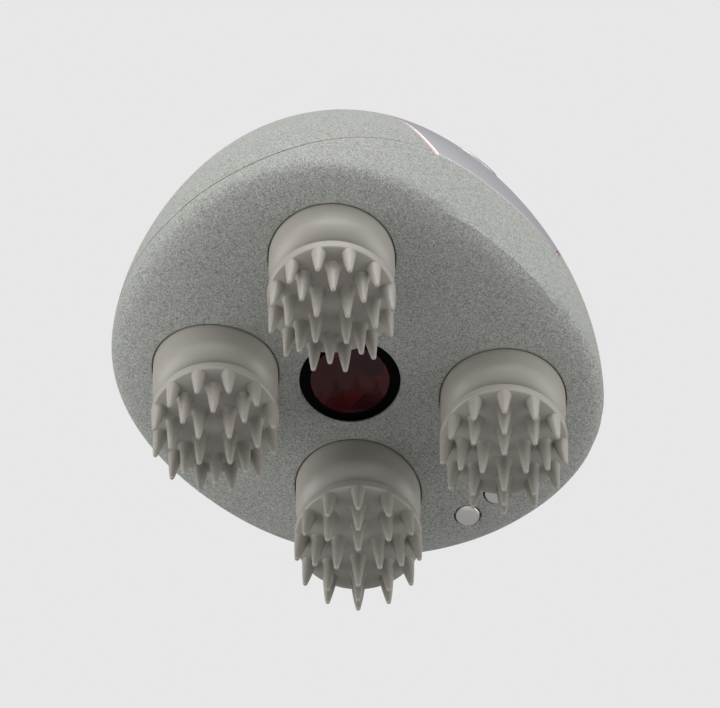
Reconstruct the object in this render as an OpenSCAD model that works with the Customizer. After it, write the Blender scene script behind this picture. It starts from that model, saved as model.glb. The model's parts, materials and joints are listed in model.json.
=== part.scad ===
// Electric scalp massager: a domed hand-held body on four turning heads with soft spikes.
// It stands on its spike tips at z = 0. The front is -Y, where the silver panel is.

/* [Body outline] */
// Body centre to its front
front_r = 50; // [48:0.5:53]
// Body centre to its front corners
front_corner_r = 57.4; // [56:0.5:60]
// Body centre to its sides
side_r = 55.7; // [55:0.5:59]
// Body centre to its rear corners
rear_corner_r = 52.3; // [51.5:0.5:55]
// Body centre to its rear
rear_r = 50; // [48:0.5:53]
// How far the corners draw in towards the top of the dome
corner_draw = 1.4; // [0:0.1:2]

/* [Body profile] */
// Height of the base's lowest ring above the spike tips
base_z = 27.6; // [27:0.1:28]
// Height of the widest ring at the front
ring_front_z = 32.4; // [31.5:0.1:33]
// Height of the widest ring at the rear
ring_rear_z = 41.6; // [40:0.1:42]
// Height of the dome's top
top_z = 90.3; // [89:0.1:96]
// How far the top leans to the front
lean = 8.3; // [6:0.1:9]
// Roundness of the base's edge at the front, a superellipse exponent
base_round_front = 3.7; // [3:0.1:4]
// Roundness of the base's edge at the rear
base_round_rear = 1.4; // [1.4:0.05:1.8]
// Roundness of the dome at the front
dome_round_front = 2.27; // [2.1:0.01:2.4]
// Roundness of the dome at the rear
dome_round_rear = 1.8; // [1.8:0.01:2]
// Radius of the shallow dish in the base
dish_r = 34; // [30:1:36]
// Depth of that dish
dish_depth = 3; // [2.6:0.1:3.2]
// Wall of both shells
wall = 2.4; // [2:0.1:2.6]

/* [Parting line] */
// Height of the parting line along the sides
seam_z = 36.1; // [35.8:0.1:37]
// Where it starts to climb, ahead of the body's centre
seam_bend_y = 14.9; // [12:0.1:17]
// Radius of that climb
seam_bend_r = 42; // [41:0.5:46]
// Slope of its rise to the rear
seam_rise = 0.16; // [0.14:0.01:0.18]
// Gap between the shells at the parting line
seam_gap = 0.3; // [0.2:0.05:0.4]
// Half height of the gasket behind it
seal_half_h = 2; // [1.5:0.1:2.2]
// Thickness of the gasket
seal_t = 1.1; // [0.8:0.1:1.3]
// Gap between the gasket and the shells
seal_gap = 0.1; // [0.08:0.01:0.12]

/* [Silver panel] */
// Elevation that the panel faces
panel_tilt = 50; // [48:1:52]
// Half width of the panel's outline
panel_half_w = 26.4; // [25:0.2:27]
// Middle of the outline, measured up the panel's own slope from the origin
panel_mid = 22.4; // [21:0.2:24]
// Reach of the outline below its middle
panel_low = 38; // [36:0.5:39]
// Reach of the outline above its middle
panel_high = 24; // [22:0.5:25]
// Thickness of the panel
panel_t = 1.1; // [0.9:0.1:1.2]
// Width of the rose trim round it
trim_w = 0.7; // [0.5:0.1:1]
// Gap between panel, trim and shell
panel_gap = 0.1; // [0.05:0.05:0.15]

/* [Buttons] */
// Radius of the power button
power_r = 6.5; // [6:0.1:7]
// Power button's place up the panel, from the outline's middle
power_up = -4; // [-5:0.5:-3.5]
// Radius of the light button
light_r = 4; // [3.5:0.1:4.2]
// Light button's place up the panel
light_up = 10; // [10:0.5:11]
// How far a button stands proud
button_proud = 0.5; // [0.3:0.1:0.7]
// Travel of a button
button_travel = 0.6; // [0.5:0.1:0.7]
// Gap round a button
button_gap = 0.3; // [0.3:0.05:0.4]
// Radius of a button's stem
stem_r = 1.5; // [1.3:0.1:1.6]
// Width of a switch
switch_w = 6.2; // [6:0.1:6.4]
// Height of a switch
switch_h = 3.5; // [3.2:0.1:3.8]
// How far a button's stem ends below the top of its switch
stem_dip = 1.2; // [1:0.1:1.4]
// Depth of the control board below the panel's skin
board_depth = 12; // [11.5:0.1:12.5]
// Width of the control board
board_w = 22; // [21:0.5:22.5]
// Radius of the posts that carry the control board
board_post_r = 1.8; // [1.6:0.1:2]
// Width of the flange that keeps a button in
flange_extra = 1; // [0.8:0.1:1.1]
// Thickness of that flange
flange_h = 0.9; // [0.7:0.1:1]
// Gap between that flange and the shell
flange_clear = 0.5; // [0.4:0.1:0.6]

/* [Heads] */
// Front heads, distance from the centre line
front_head_x = 27; // [26.5:0.1:27.4]
// Rear heads, distance from the centre line
rear_head_x = 22.5; // [22:0.1:23]
// Sun gear's centre, ahead of the body's centre
sun_y = -4.8; // [-5.2:0.1:-4.6]
// Radius of a pad's disc
pad_r = 14.2; // [14:0.1:14.4]
// Thickness of the disc at its rim
pad_t = 2.6; // [2.4:0.1:2.8]
// Height of the disc's domed face
pad_dome = 1.6; // [1.2:0.1:1.8]
// Spikes in the inner ring
inner_spikes = 4; // [3:1:5]
// Spikes in the middle ring
middle_spikes = 8; // [6:1:9]
// Spikes in the outer ring
outer_spikes = 12; // [9:1:14]
// Radius of the inner ring at its spikes' feet
inner_ring_r = 4.5; // [4:0.1:5]
// Radius of the middle ring
middle_ring_r = 9; // [8.5:0.1:9.2]
// Radius of the outer ring
outer_ring_r = 12.6; // [12.3:0.1:12.7]
// Reach of the inner tips below the disc's rim
inner_reach = 11.8; // [11.4:0.1:12]
// Reach of the middle tips
middle_reach = 10.7; // [9.5:0.1:11.4]
// Reach of the outer tips
outer_reach = 8.4; // [7.5:0.1:9.4]
// Outward lean of the inner spikes
inner_lean = 2; // [0:0.5:3]
// Outward lean of the middle spikes
middle_lean = 4; // [2:0.5:5]
// Outward lean of the outer spikes
outer_lean = 7.8; // [6:0.1:9]
// Radius of a spike's foot
spike_foot_r = 1.55; // [1.4:0.05:1.6]
// Radius of a spike's rounded tip
spike_tip_r = 0.55; // [0.5:0.05:0.65]

/* [Boots and shafts] */
// Outer radius of a boot
boot_r = 14.1; // [13.9:0.1:14.2]
// Wall of a boot
boot_wall = 1.5; // [1.3:0.1:1.6]
// Gap round a boot where it leaves the base
boot_gap = 0.2; // [0.15:0.05:0.3]
// Outer radius of a boot's mouth
boot_mouth_r = 8; // [7.8:0.1:8.4]
// Height of a boot's mouth
boot_mouth_z = 18.4; // [18.2:0.1:18.8]
// Height of a boot's shoulder
boot_shoulder_z = 22.8; // [22.4:0.1:23.2]
// Radius of a boot's flange inside
boot_flange_r = 15.9; // [15.7:0.1:16]
// Thickness of that flange
boot_flange_t = 1.4; // [1.2:0.1:1.5]
// Rounding of a boot's shoulder
boot_shoulder_r = 1.9; // [1.7:0.1:2.1]
// Radius of a head core's neck
neck_r = 6; // [5.8:0.1:6.1]
// Gap between the neck and the boot's mouth
neck_gap = 0.4; // [0.3:0.05:0.5]
// How far the neck reaches up into the boot
neck_in = 5; // [4.6:0.1:5.2]
// Radius of the plate that holds a pad
core_plate_r = 11.4; // [11:0.1:11.6]
// Thickness of that plate
core_plate_t = 1.2; // [1:0.1:1.3]
// Radius of a drive shaft
shaft_r = 2; // [1.8:0.1:2.1]
// Running clearance round shafts and axles
running = 0.05; // [0.03:0.01:0.08]
// Push-fit clearance of what is fixed on a shaft or in a seat
push_fit = 0.02; // [0.01:0.01:0.03]
// Wall of a shaft's bush
bush_wall = 1.9; // [1.7:0.1:2]
// Outer radius of a shaft's lip seal
seal_r = 5; // [4.8:0.1:5.1]
// Room for a shaft's lip seal, along the shaft
seal_h = 3; // [2.8:0.1:3.2]
// Gap between a neck's top and the hub above it
hub_gap = 4.2; // [4:0.1:4.4]
// Wall of the hub round a seal
hub_wall = 1.8; // [1.6:0.1:2]

/* [Gears] */
// Module of the output gears
head_module = 0.9; // [0.88:0.01:0.92]
// Teeth of the sun gear
sun_teeth = 42; // [40:1:43]
// Teeth of an output gear
head_teeth = 30; // [29:1:31]
// Teeth of the reduction gear's small pinion
small_teeth = 14; // [13:1:15]
// Module of the motor's pair
motor_module = 0.6; // [0.58:0.01:0.62]
// Teeth of the reduction gear's wheel
wheel_teeth = 40; // [38:1:41]
// Teeth of the motor pinion
motor_teeth = 12; // [11:1:13]
// Thickness of the output gears
gear_t = 5; // [4.6:0.1:5.2]
// Thickness of the reduction gear's wheel
wheel_t = 3.4; // [3:0.1:3.6]
// Play between meshing teeth
backlash = 0.2; // [0.16:0.01:0.26]
// Gap between gears and plates
gear_gap = 0.6; // [0.5:0.1:0.8]
// Radius of the gear axles
axle_r = 2.4; // [2.2:0.1:2.5]

/* [Gearbox] */
// Height of the seat inside the lower shell that the boots and the gearbox rest on
seat_z = 35; // [34.8:0.1:35.2]
// Thickness of the gearbox plate
plate_t = 2.5; // [2.3:0.1:2.8]
// Thickness of the gearbox cover
cover_t = 2; // [1.8:0.1:2.2]
// Gap between the plates and the gasket
plate_edge = 0.5; // [0.4:0.1:0.8]
// Radius of the posts
post_r = 3.2; // [3:0.1:3.3]
// Front posts, distance in from the body's front
front_post_in = 10; // [9.8:0.1:10.3]
// Side posts, distance in from the body's sides
side_post_in = 19.7; // [19.4:0.1:20]
// Gap between the battery tray and the head of the rear post's screw
rear_screw_gap = 0.6; // [0.4:0.1:0.8]
// Gap between the gear wheel and the front posts
wheel_clear = 0.7; // [0.6:0.05:0.8]
// Case screws, distance from the centre line
case_screw_x = 16; // [15.5:0.1:16.5]
// Case screws, distance behind the front posts
case_screw_back = 7; // [6.8:0.1:7.4]
// Height of the case screws' heads
case_head_z = 74; // [73:0.5:75]
// Radius of the long screws
screw_r = 1.25; // [1.2:0.05:1.3]
// Clearance round a screw's shank
screw_gap = 0.15; // [0.1:0.05:0.2]
// Radius of a screw's head
screw_head_r = 2.4; // [2.2:0.1:2.5]
// Height of a screw's head
screw_head_h = 1.5; // [1.3:0.1:1.7]

/* [Motor, battery and boards] */
// Radius of the motor
motor_r = 11; // [10.6:0.1:11.2]
// Length of the motor's can
motor_h = 18; // [16:0.5:18.5]
// Radius of the motor's shaft
motor_shaft_r = 1; // [0.9:0.05:1.1]
// Radius of the bosses at the motor's ends
motor_boss_r = 3; // [2.8:0.1:3.2]
// Depth of the shaft's bearing in the motor
motor_bore = 4; // [3.6:0.1:4.4]
// Battery, width across
battery_w = 36; // [34:0.5:37]
// Battery, front to back
battery_d = 26; // [24:0.5:26]
// Battery, height
battery_h = 10; // [9:0.5:10.5]
// Gap round the battery in its tray
battery_fit = 0.5; // [0.4:0.1:0.7]
// Thickness of the battery tray
tray_t = 1.2; // [1:0.1:1.4]
// Gap between the motor and the battery tray
tray_gap = 1.4; // [1.2:0.1:1.6]
// How much wider the tray is than the battery
tray_extra = 9; // [8.5:0.1:9.4]
// Radius of the tray's posts
tray_post_r = 1.9; // [1.7:0.1:2]
// Gap between the battery and the main board
tray_head = 2; // [1.6:0.1:2.2]
// Thickness of the circuit boards
board_t = 1.6; // [1.4:0.1:1.8]

/* [Window and charging contacts] */
// Window's centre, ahead of the body's centre
window_y = -1.4; // [-1.8:0.1:-1]
// Height of the window's face
window_z = 30.3; // [30.1:0.1:30.6]
// Outer radius of the window's black ring
ring_r = 11.2; // [11:0.1:11.4]
// Radius of the lens
lens_r = 8.9; // [8.7:0.1:9]
// Thickness of the lens
lens_t = 1.4; // [1.2:0.1:1.5]
// Width of the ledge that the lens rests on
lens_seat = 0.8; // [0.7:0.1:0.9]
// Gap round the window's pieces
window_fit = 0.1; // [0.08:0.01:0.12]
// Wall round the window inside the base
window_wall = 2; // [1.8:0.1:2.2]
// Charging contacts, distance in from the body's side
contact_in = 11.1; // [10.8:0.1:11.6]
// Middle of the two contacts
contact_y = 1.2; // [0.8:0.1:1.6]
// Pitch of the two contacts
contact_pitch = 9.2; // [9:0.1:9.6]
// Radius of a contact's face
contact_r = 2.7; // [2.6:0.05:2.8]
// Gap round a contact's face
contact_gap = 0.4; // [0.3:0.05:0.45]
// How far a contact stands proud of the base
contact_proud = 0.3; // [0.1:0.05:0.4]
// Wall round a contact inside the base
contact_wall = 1.3; // [1.1:0.1:1.4]
// Height of the board on which the contacts stand
contact_seat_z = 34; // [33.8:0.1:34.2]
// Length of a contact's collar
contact_collar_h = 2; // [1.8:0.1:2.2]
// How far the contacts' board reaches past a contact's face
contact_board_edge = 1.2; // [1:0.1:1.4]

/* [Hidden] */
$fn = 48;
HEADS = ["front_left", "front_right", "rear_left", "rear_right"];

// Facets round the body, and along its base and dome
body_sides = 48;
base_rows = 7;
dome_rows = 11;
// Facets along the panel's sides and foot, and across it
side_steps = 40;
foot_steps = 18;
patch_rings = 5;
// A cutter's overrun, and the lap of shapes that are joined
past = 1;
lap = 0.1;

// ---- the rings of spikes, from the middle out ----
spike_counts = [inner_spikes, middle_spikes, outer_spikes];
spike_ring_r = [inner_ring_r, middle_ring_r, outer_ring_r];
spike_reach = [inner_reach, middle_reach, outer_reach];
spike_lean = [inner_lean, middle_lean, outer_lean];

// ---- heights, from the spike tips up ----
rim_z = inner_reach;
pad_back_z = rim_z + pad_t;
plate_z = seat_z + boot_flange_t;
plate_top_z = plate_z + plate_t;
gear_z = plate_top_z + gear_gap;
wheel_z = gear_z + gear_t + gear_gap;
cover_z = wheel_z + wheel_t + gear_gap;
cover_top_z = cover_z + cover_t;

// ---- places of the heads and gears ----
head_gap = head_module * (sun_teeth + head_teeth) / 2;
small_gap = head_module * (sun_teeth + small_teeth) / 2;
motor_gap = motor_module * (wheel_teeth + motor_teeth) / 2;
reduction_y = sun_y - small_gap;
motor_y = reduction_y + motor_gap;
head_places = [
    [-front_head_x, sun_y - sqrt(head_gap * head_gap - front_head_x * front_head_x)],
    [front_head_x, sun_y - sqrt(head_gap * head_gap - front_head_x * front_head_x)],
    [-rear_head_x, sun_y + sqrt(head_gap * head_gap - rear_head_x * rear_head_x)],
    [rear_head_x, sun_y + sqrt(head_gap * head_gap - rear_head_x * rear_head_x)]
];
// Direction of one spike of every ring, for each head, at rest
spike_phase = [182.2, 225, 179, 225];
tray_y = motor_y + motor_r + tray_gap;
tray_d = battery_d + 2 * battery_fit;
// The side posts stand beside the sun gear, the front ones clear of the gear wheel and the rear one
// behind the battery tray
rear_post_y = tray_y + tray_d + screw_head_r + rear_screw_gap;
side_post_x = side_r - side_post_in;
side_post_y = -2;
front_post_y = front_post_in - front_r;
front_post_x = sqrt(pow(tip_r(wheel_teeth, motor_module) + post_r + wheel_clear, 2)
    - pow(front_post_y - reduction_y, 2));
post_places = [
    [-side_post_x, side_post_y], [side_post_x, side_post_y], [0, rear_post_y],
    [-front_post_x, front_post_y], [front_post_x, front_post_y]
];
case_screw_y = front_post_y + case_screw_back;
// A post's pilot hole stops this far below the seat, and the screw's end a little higher
pilot_depth = 1;
screw_bite = 0.7;
// How much narrower a pilot hole is than its screw
thread_bite = 0.1;
contact_x = side_r - contact_in;

// ---- body surface ----
// A bearing of 0 is the front and 90 the +X side.
function bearing_of(x, y) = atan2(x, -y);
plan_radii = [front_r, front_corner_r, side_r, rear_corner_r, rear_r];
function plan_wave(k) = (plan_radii[0] / 2 + plan_radii[4] * cos(180 * k) / 2
    + plan_radii[1] * cos(45 * k) + plan_radii[2] * cos(90 * k) + plan_radii[3] * cos(135 * k)) / 2;
plan_waves = [plan_wave(0) / 2, plan_wave(1), plan_wave(2), plan_wave(3), plan_wave(4) / 2];
function plan_r(a) = plan_waves[0] + plan_waves[1] * cos(a) + plan_waves[2] * cos(2 * a)
    + plan_waves[3] * cos(3 * a) + plan_waves[4] * cos(4 * a);
function rearward(a) = pow((1 - cos(a)) / 2, 1.5);
function seam_height(y) = seam_z
    + (y < -seam_bend_y ? seam_bend_r - sqrt(max(0, pow(seam_bend_r, 2) - pow(y + seam_bend_y, 2))) : 0)
    + (y > window_y ? (y - window_y) * seam_rise : 0);
function ring_z(a) = min(ring_front_z + (ring_rear_z - ring_front_z) * rearward(a),
    seam_height(-plan_r(a) * cos(a)) - seam_gap);
function base_n(a) = base_round_front + (base_round_rear - base_round_front) * rearward(a);
function dome_n(a) = dome_round_rear + (dome_round_front - dome_round_rear) * pow((1 + cos(a)) / 2, 2);
function dish(r) = r < dish_r ? dish_depth * pow(1 - pow(r / dish_r, 2), 2) : 0;

function around(r, a, z, push = 0) = [r * sin(a), -r * cos(a) - push, z];
// Point of the dome at bearing a, where e runs from 0 at the widest ring to 90 at the top
function dome_point(a, e, inset) = let (
    t = pow(sin(e), 2 / dome_n(a)),
    r = (plan_r(a) - inset + corner_draw * t * cos(4 * a)) * pow(max(cos(e), 0), 2 / dome_n(a)),
    z0 = ring_z(a)
) around(r, a, z0 + (top_z - inset - z0) * t, lean * t * t);
// Point of the base, where e runs from 0 at the widest ring to 90 at the middle
function base_point(a, e, inset) = let (
    t = pow(sin(e), 2 / base_n(a)),
    r = (plan_r(a) - inset) * pow(max(cos(e), 0), 2 / base_n(a)),
    z0 = ring_z(a)
) around(r, a, z0 - (z0 - base_z - inset) * t + dish(r));
// Height of the base's outer surface over a point of the plan
function base_height(x, y) = let (
    a = bearing_of(x, y),
    r = norm([x, y]),
    z0 = ring_z(a)
) z0 - (z0 - base_z) * pow(max(0, 1 - pow(r / plan_r(a), base_n(a))), 1 / base_n(a)) + dish(r);
// Point of the wall at height z
function wall_point(a, z, inset) = let (z0 = ring_z(a)) z > z0
    ? dome_point(a, asin(min(1, pow((z - z0) / (top_z - inset - z0), dome_n(a) / 2))), inset)
    : base_point(a, asin(min(1, pow((z0 - z) / (z0 - base_z - inset), base_n(a) / 2))), inset);
// Point of the wall at the parting line, or rise above it
function seam_point(a, inset, rise, z = seam_z, turns = 10) = let (p = wall_point(a, z, inset))
    turns == 0 ? p : seam_point(a, inset, rise, seam_height(p.y) + rise, turns - 1);
function seam_e(a, inset, rise) = let (z0 = ring_z(a), z = seam_point(a, inset, rise).z)
    asin(pow(max(0, (z - z0) / (top_z - inset - z0)), dome_n(a) / 2));

// ---- body meshes ----
function bearings() = [for (i = [0 : body_sides - 1]) 360 * i / body_sides];
function base_ring(e, inset) = [for (a = bearings()) base_point(a, e, inset)];
function seam_ring(inset, rise) = [for (a = bearings()) seam_point(a, inset, rise)];
function dome_ring(step, inset, rise) = [for (a = bearings())
    let (e0 = seam_e(a, inset, rise)) dome_point(a, e0 + (90 - e0) * step, inset)];
function flat(rings) = [for (ring = rings) for (p = ring) p];
function band_faces(i, j, n) = [for (k = [0 : n - 1]) let (m = (k + 1) % n)
    for (f = [[i * n + k, i * n + m, j * n + k], [i * n + m, j * n + m, j * n + k]]) f];

// Closed ring: the last row joins the first
module ring_loft(rings) {
    n = len(rings[0]);
    count = len(rings);
    polyhedron(flat(rings), [for (i = [0 : count - 1]) for (f = band_faces(i, (i + 1) % count, n)) f]);
}

// Closed solid: a point, rows, a point
module capped_loft(start, rings, end) {
    n = len(rings[0]);
    last = len(rings) - 1;
    count = n * len(rings);
    polyhedron(concat(flat(rings), [start, end]), concat(
        [for (k = [0 : n - 1]) [count, (k + 1) % n, k]],
        [for (i = [0 : last - 1]) for (f = band_faces(i, i + 1, n)) f],
        [for (k = [0 : n - 1]) [count + 1, last * n + k, last * n + (k + 1) % n]]
    ));
}

// Middle of the dome and of the base
function top_point(inset) = [0, -lean, top_z - inset];
function base_middle(inset) = [0, 0, base_z + inset + dish_depth];
dome_steps = [for (i = [0 : dome_rows - 1]) i / dome_rows];
base_steps = [for (i = [0 : base_rows - 1]) 90 * i / base_rows];

// Whole body as a solid, set in from the surface
module body_solid(inset) {
    capped_loft(top_point(inset), concat(
        [for (i = [dome_rows - 1 : -1 : 0]) dome_ring(dome_steps[i], inset, 0)],
        [for (e = base_steps) base_ring(e, inset)]
    ), base_middle(inset));
}

// ---- panel patches ----
// The panel's own frame: out along the way it faces, up its slope, and x.
out = [0, -cos(panel_tilt), sin(panel_tilt)];
up = [0, sin(panel_tilt), cos(panel_tilt)];
function panel_point(x, q, s) = [x, 0, 0] + q * up + s * out;
// Distance of a point outside the dome, with the lean found in a few turns
function beyond(p, inset, push = 0, turns = 4) = let (
    a = bearing_of(p.x, p.y + push),
    z0 = ring_z(a),
    t = max(0, (p.z - z0) / (top_z - inset - z0))
) t >= 1 ? t : turns > 0 ? beyond(p, inset, lean * t * t, turns - 1)
    : norm([p.x, p.y + push])
        - (plan_r(a) - inset + corner_draw * t * cos(4 * a)) * pow(1 - pow(t, dome_n(a)), 1 / dome_n(a));
// Distance out along the panel's axis at which the dome's surface lies
function skin_s(x, q, lo = base_z - lean, hi = top_z + 2 * lean, turns = 22) = let (mid = (lo + hi) / 2)
    turns == 0 ? mid
    : beyond(panel_point(x, q, mid), 0) > 0 ? skin_s(x, q, lo, mid, turns - 1)
    : skin_s(x, q, mid, hi, turns - 1);
function skin_point(x, q, out_by) = panel_point(x, q, skin_s(x, q) + out_by);
// Outline of the panel, shrunk by less, at a turn about its middle
function outline_at(turn, share, less) = [
    share * (panel_half_w - less) * cos(turn),
    panel_mid + share * ((sin(turn) < 0 ? panel_low : panel_high) - less) * sin(turn)
];
// Height above the upper shell's edge of a point of the outline, shrunk by less
function over_seam(turn, share, less) = let (
    q = outline_at(turn, share, less),
    p = skin_point(q[0], q[1], 0)
) p.z - seam_height(p.y) - seam_gap / 2;
// Turn at which the outline comes down its right side to the parting line
function corner_turn(lo = -90, hi = 0, turns = 16) = let (mid = (lo + hi) / 2)
    turns == 0 ? mid
    : over_seam(mid, 1, 0) < 0 ? corner_turn(mid, hi, turns - 1)
    : corner_turn(lo, mid, turns - 1);
// Share of the outline's reach at which it is low above the parting line
function seam_share(turn, less, low, lo = 0.3, hi = 1, turns = 14) = let (mid = (lo + hi) / 2)
    turns == 0 ? lo
    : over_seam(turn, mid, less) < low ? seam_share(turn, less, low, lo, mid, turns - 1)
    : seam_share(turn, less, low, mid, hi, turns - 1);
// Turns along the sides and the top, then along the foot
corner = corner_turn();
side_turns = [for (k = [0 : side_steps]) corner + (180 - 2 * corner) * k / side_steps];
foot_turns = [for (k = [1 : foot_steps - 1]) 180 - corner + (180 + 2 * corner) * k / foot_steps];
// The outline shrunk by less, which ends low above the parting line
function patch_edge(less, low) = [for (turn = concat(side_turns, foot_turns))
    outline_at(turn, sin(turn) < sin(corner) / 2 ? seam_share(turn, less, low) : 1, less)];
function patch_ring(edge, share, out_by) = [for (p = edge)
    skin_point(p[0] * share, panel_mid + (p[1] - panel_mid) * share, out_by)];

// Slab of the dome's skin inside the panel's outline, from out_low to out_high off the surface
module skin_patch(less, low, out_low, out_high) {
    edge = patch_edge(less, low);
    shares = [for (i = [1 : patch_rings]) i / patch_rings];
    capped_loft(skin_point(0, panel_mid, out_high), concat(
        [for (s = shares) patch_ring(edge, s, out_high)],
        [for (i = [patch_rings - 1 : -1 : 0]) patch_ring(edge, shares[i], out_low)]
    ), skin_point(0, panel_mid, out_low));
}

// Puts a shape's z axis along the way the panel faces, x across it, at q up the slope and s out
module on_panel(q, s) {
    translate(panel_point(0, q, s)) rotate([90 - panel_tilt, 0, 0]) children();
}

power_q = panel_mid + power_up;
light_q = panel_mid + light_up;
// The control board reaches a switch's width past the buttons' centres
board_l = light_q - power_q + 2 * switch_w;
board_q = (power_q + light_q) / 2;
board_s = skin_s(0, power_q) - board_depth;
// Its posts stand this far in from its edges
board_post_in = 2;
// The wall is this much thicker along the panel's axis than across itself
flange_slope = 1.15;

// ---- shells ----
module head_spots(z) {
    for (p = head_places) translate([p[0], p[1], z]) children();
}

module post_spots(z) {
    for (p = post_places) translate([p[0], p[1], z]) children();
}

module contact_spots(z) {
    for (side = [-1, 1]) translate([contact_x, contact_y + side * contact_pitch / 2, z]) children();
}

module tube(r_out, r_in, h) {
    difference() {
        cylinder(r = r_out, h = h);
        translate([0, 0, -past]) cylinder(r = r_in, h = h + 2 * past);
    }
}

low_z = base_z - past;
pilot_r = screw_r - thread_bite;
// Radius of the base mesh's flat middle, which the window's hole takes away
middle_r = 8;

module lower_shell() {
    color([0.55, 0.56, 0.54]) difference() {
        union() {
            ring_loft(concat(
                [seam_ring(0, -seam_gap / 2)],
                [for (e = base_steps) base_ring(e, 0)],
                [[for (a = bearings()) around(middle_r, a, base_z + dish(middle_r))]],
                [[for (a = bearings()) around(middle_r, a, base_z + wall + dish(middle_r))]],
                [for (i = [base_rows - 1 : -1 : 0]) base_ring(base_steps[i], wall)],
                [seam_ring(wall, -seam_gap / 2)]
            ));
            intersection() {
                body_solid(wall / 2);
                union() {
                    head_spots(low_z) cylinder(r = boot_flange_r, h = seat_z - low_z);
                    post_spots(low_z) cylinder(r = post_r, h = plate_z - low_z);
                    translate([0, window_y, low_z])
                        cylinder(r = ring_r + window_fit + window_wall, h = seat_z - low_z);
                    contact_spots(low_z)
                        cylinder(r = contact_r + contact_gap + contact_wall, h = contact_seat_z - low_z);
                }
            }
        }
        head_spots(low_z - past) cylinder(r = boot_r + boot_gap, h = seat_z);
        head_spots(seat_z) cylinder(r = boot_flange_r + boot_gap, h = seat_z);
        translate([0, window_y, low_z - past]) cylinder(r = ring_r + window_fit, h = seat_z);
        contact_spots(low_z - past) cylinder(r = contact_r + contact_gap, h = seat_z);
        post_spots(seat_z - pilot_depth) cylinder(r = pilot_r, h = seat_z);
    }
}

// The pocket runs out through the shell's lower edge
module panel_pocket() {
    skin_patch(0, -past, -panel_t - panel_gap, past);
}

// Round hole for a button, from the control board out to clear of the dome
module button_holes() {
    for (b = [[power_r, power_q], [light_r, light_q]]) on_panel(b[1], board_s)
        cylinder(r = b[0] + button_gap, h = skin_s(0, b[1]) - board_s + b[0]);
}

// Posts that hang from the upper shell and carry the control board
board_posts = [for (x = [-1, 1]) for (y = [-1, 1])
    [x * (board_w / 2 - board_post_in), board_q + y * (board_l / 2 - board_post_in)]];

module upper_shell() {
    color([0.58, 0.59, 0.57]) difference() {
        union() {
            capped_loft(top_point(0), concat(
                [for (i = [dome_rows - 1 : -1 : 0]) dome_ring(dome_steps[i], 0, seam_gap / 2)],
                [for (step = dome_steps) dome_ring(step, wall, seam_gap / 2)]
            ), top_point(wall));
            intersection() {
                body_solid(wall / 2);
                union() {
                    for (p = board_posts) translate([p[0], 0, 0]) on_panel(p[1], board_s)
                        cylinder(r = board_post_r, h = board_depth + past);
                    for (x = [-1, 1]) translate([x * case_screw_x, case_screw_y, cover_top_z])
                        cylinder(r = post_r, h = top_z - cover_top_z);
                }
            }
        }
        panel_pocket();
        button_holes();
        for (x = [-1, 1]) translate([x * case_screw_x, case_screw_y, 0]) {
            cylinder(r = screw_r + screw_gap, h = top_z);
            translate([0, 0, case_head_z - screw_head_h]) cylinder(r = screw_head_r + screw_gap, h = top_z);
        }
    }
}

// The gasket's back lies inside the shells' flat facets, and its web stops behind the parting line
seal_back = wall + 5 * seal_gap;
web_in = 0.9;

module shell_seal() {
    web = (seam_gap - seal_gap) / 2;
    color([0.2, 0.2, 0.21]) ring_loft([
        seam_ring(web_in, web), seam_ring(web_in, -web),
        seam_ring(seal_back, -web), seam_ring(seal_back, -seal_half_h),
        seam_ring(seal_back + seal_t, -seal_half_h), seam_ring(seal_back + seal_t, seal_half_h),
        seam_ring(seal_back, seal_half_h), seam_ring(seal_back, web)
    ]);
}

// ---- panel and buttons ----
module control_panel() {
    color([0.78, 0.78, 0.8]) difference() {
        skin_patch(panel_gap * 2 + trim_w, panel_gap, -panel_t, 0);
        button_holes();
    }
}

// A strip along the panel's sides and top; the foot has none
module panel_trim() {
    color([0.75, 0.5, 0.5]) difference() {
        skin_patch(panel_gap, panel_gap, -panel_t, 0);
        skin_patch(panel_gap + trim_w, -past, -panel_t - past, past);
    }
}

// A cap shaped to the dome, a flange that keeps it in, and a stem that works its switch
module push_button(r, q) {
    reach = r + flange_extra;
    under = min(skin_s(0, q - reach), skin_s(0, q + reach), skin_s(reach, q))
        - wall * flange_slope - flange_clear - flange_h;
    stem_s = board_s + switch_h - stem_dip;
    difference() {
        on_panel(q, under) cylinder(r = r, h = skin_s(0, q) + r / 2 - under);
        skin_patch(trim_w, panel_gap, button_proud, r + 2 * button_proud);
    }
    on_panel(q, under) cylinder(r = r + flange_extra, h = flange_h);
    on_panel(q, stem_s) cylinder(r = stem_r, h = under - stem_s + flange_h / 2);
}

module power_button() {
    color([0.72, 0.72, 0.74]) push_button(power_r, power_q);
}

module light_button() {
    color([0.72, 0.72, 0.74]) push_button(light_r, light_q);
}

switch_floor = 0.6;

module button_switch(q) {
    color([0.15, 0.15, 0.16]) on_panel(q, board_s) difference() {
        translate([-switch_w / 2, -switch_w / 2, 0]) cube([switch_w, switch_w, switch_h]);
        translate([0, 0, switch_floor]) cylinder(r = stem_r + button_gap, h = switch_h);
    }
}

module power_switch() {
    button_switch(power_q);
}

module light_switch() {
    button_switch(light_q);
}

module control_board() {
    color([0.1, 0.35, 0.2]) on_panel(board_q, board_s - board_t)
        translate([-board_w / 2, -board_l / 2, 0]) cube([board_w, board_l, board_t]);
}

// ---- window and contacts ----
reflector_z = window_z + lens_t + window_fit;
led_board_z = seat_z + window_fit;
// The cup's mouth lies this far inside the lens, and its throat clears the lamp
cup_lip = 0.4;
throat_r = 2.2;
lamp_r = 1.6;
lamp_h = 0.9;

module window_ring() {
    color([0.02, 0.02, 0.02]) translate([0, window_y, window_z]) difference() {
        cylinder(r = ring_r, h = seat_z - window_z);
        translate([0, 0, -past]) cylinder(r = lens_r + window_fit, h = lens_t + past);
        translate([0, 0, lens_t]) cylinder(r = lens_r + lens_seat, h = seat_z);
    }
}

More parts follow.
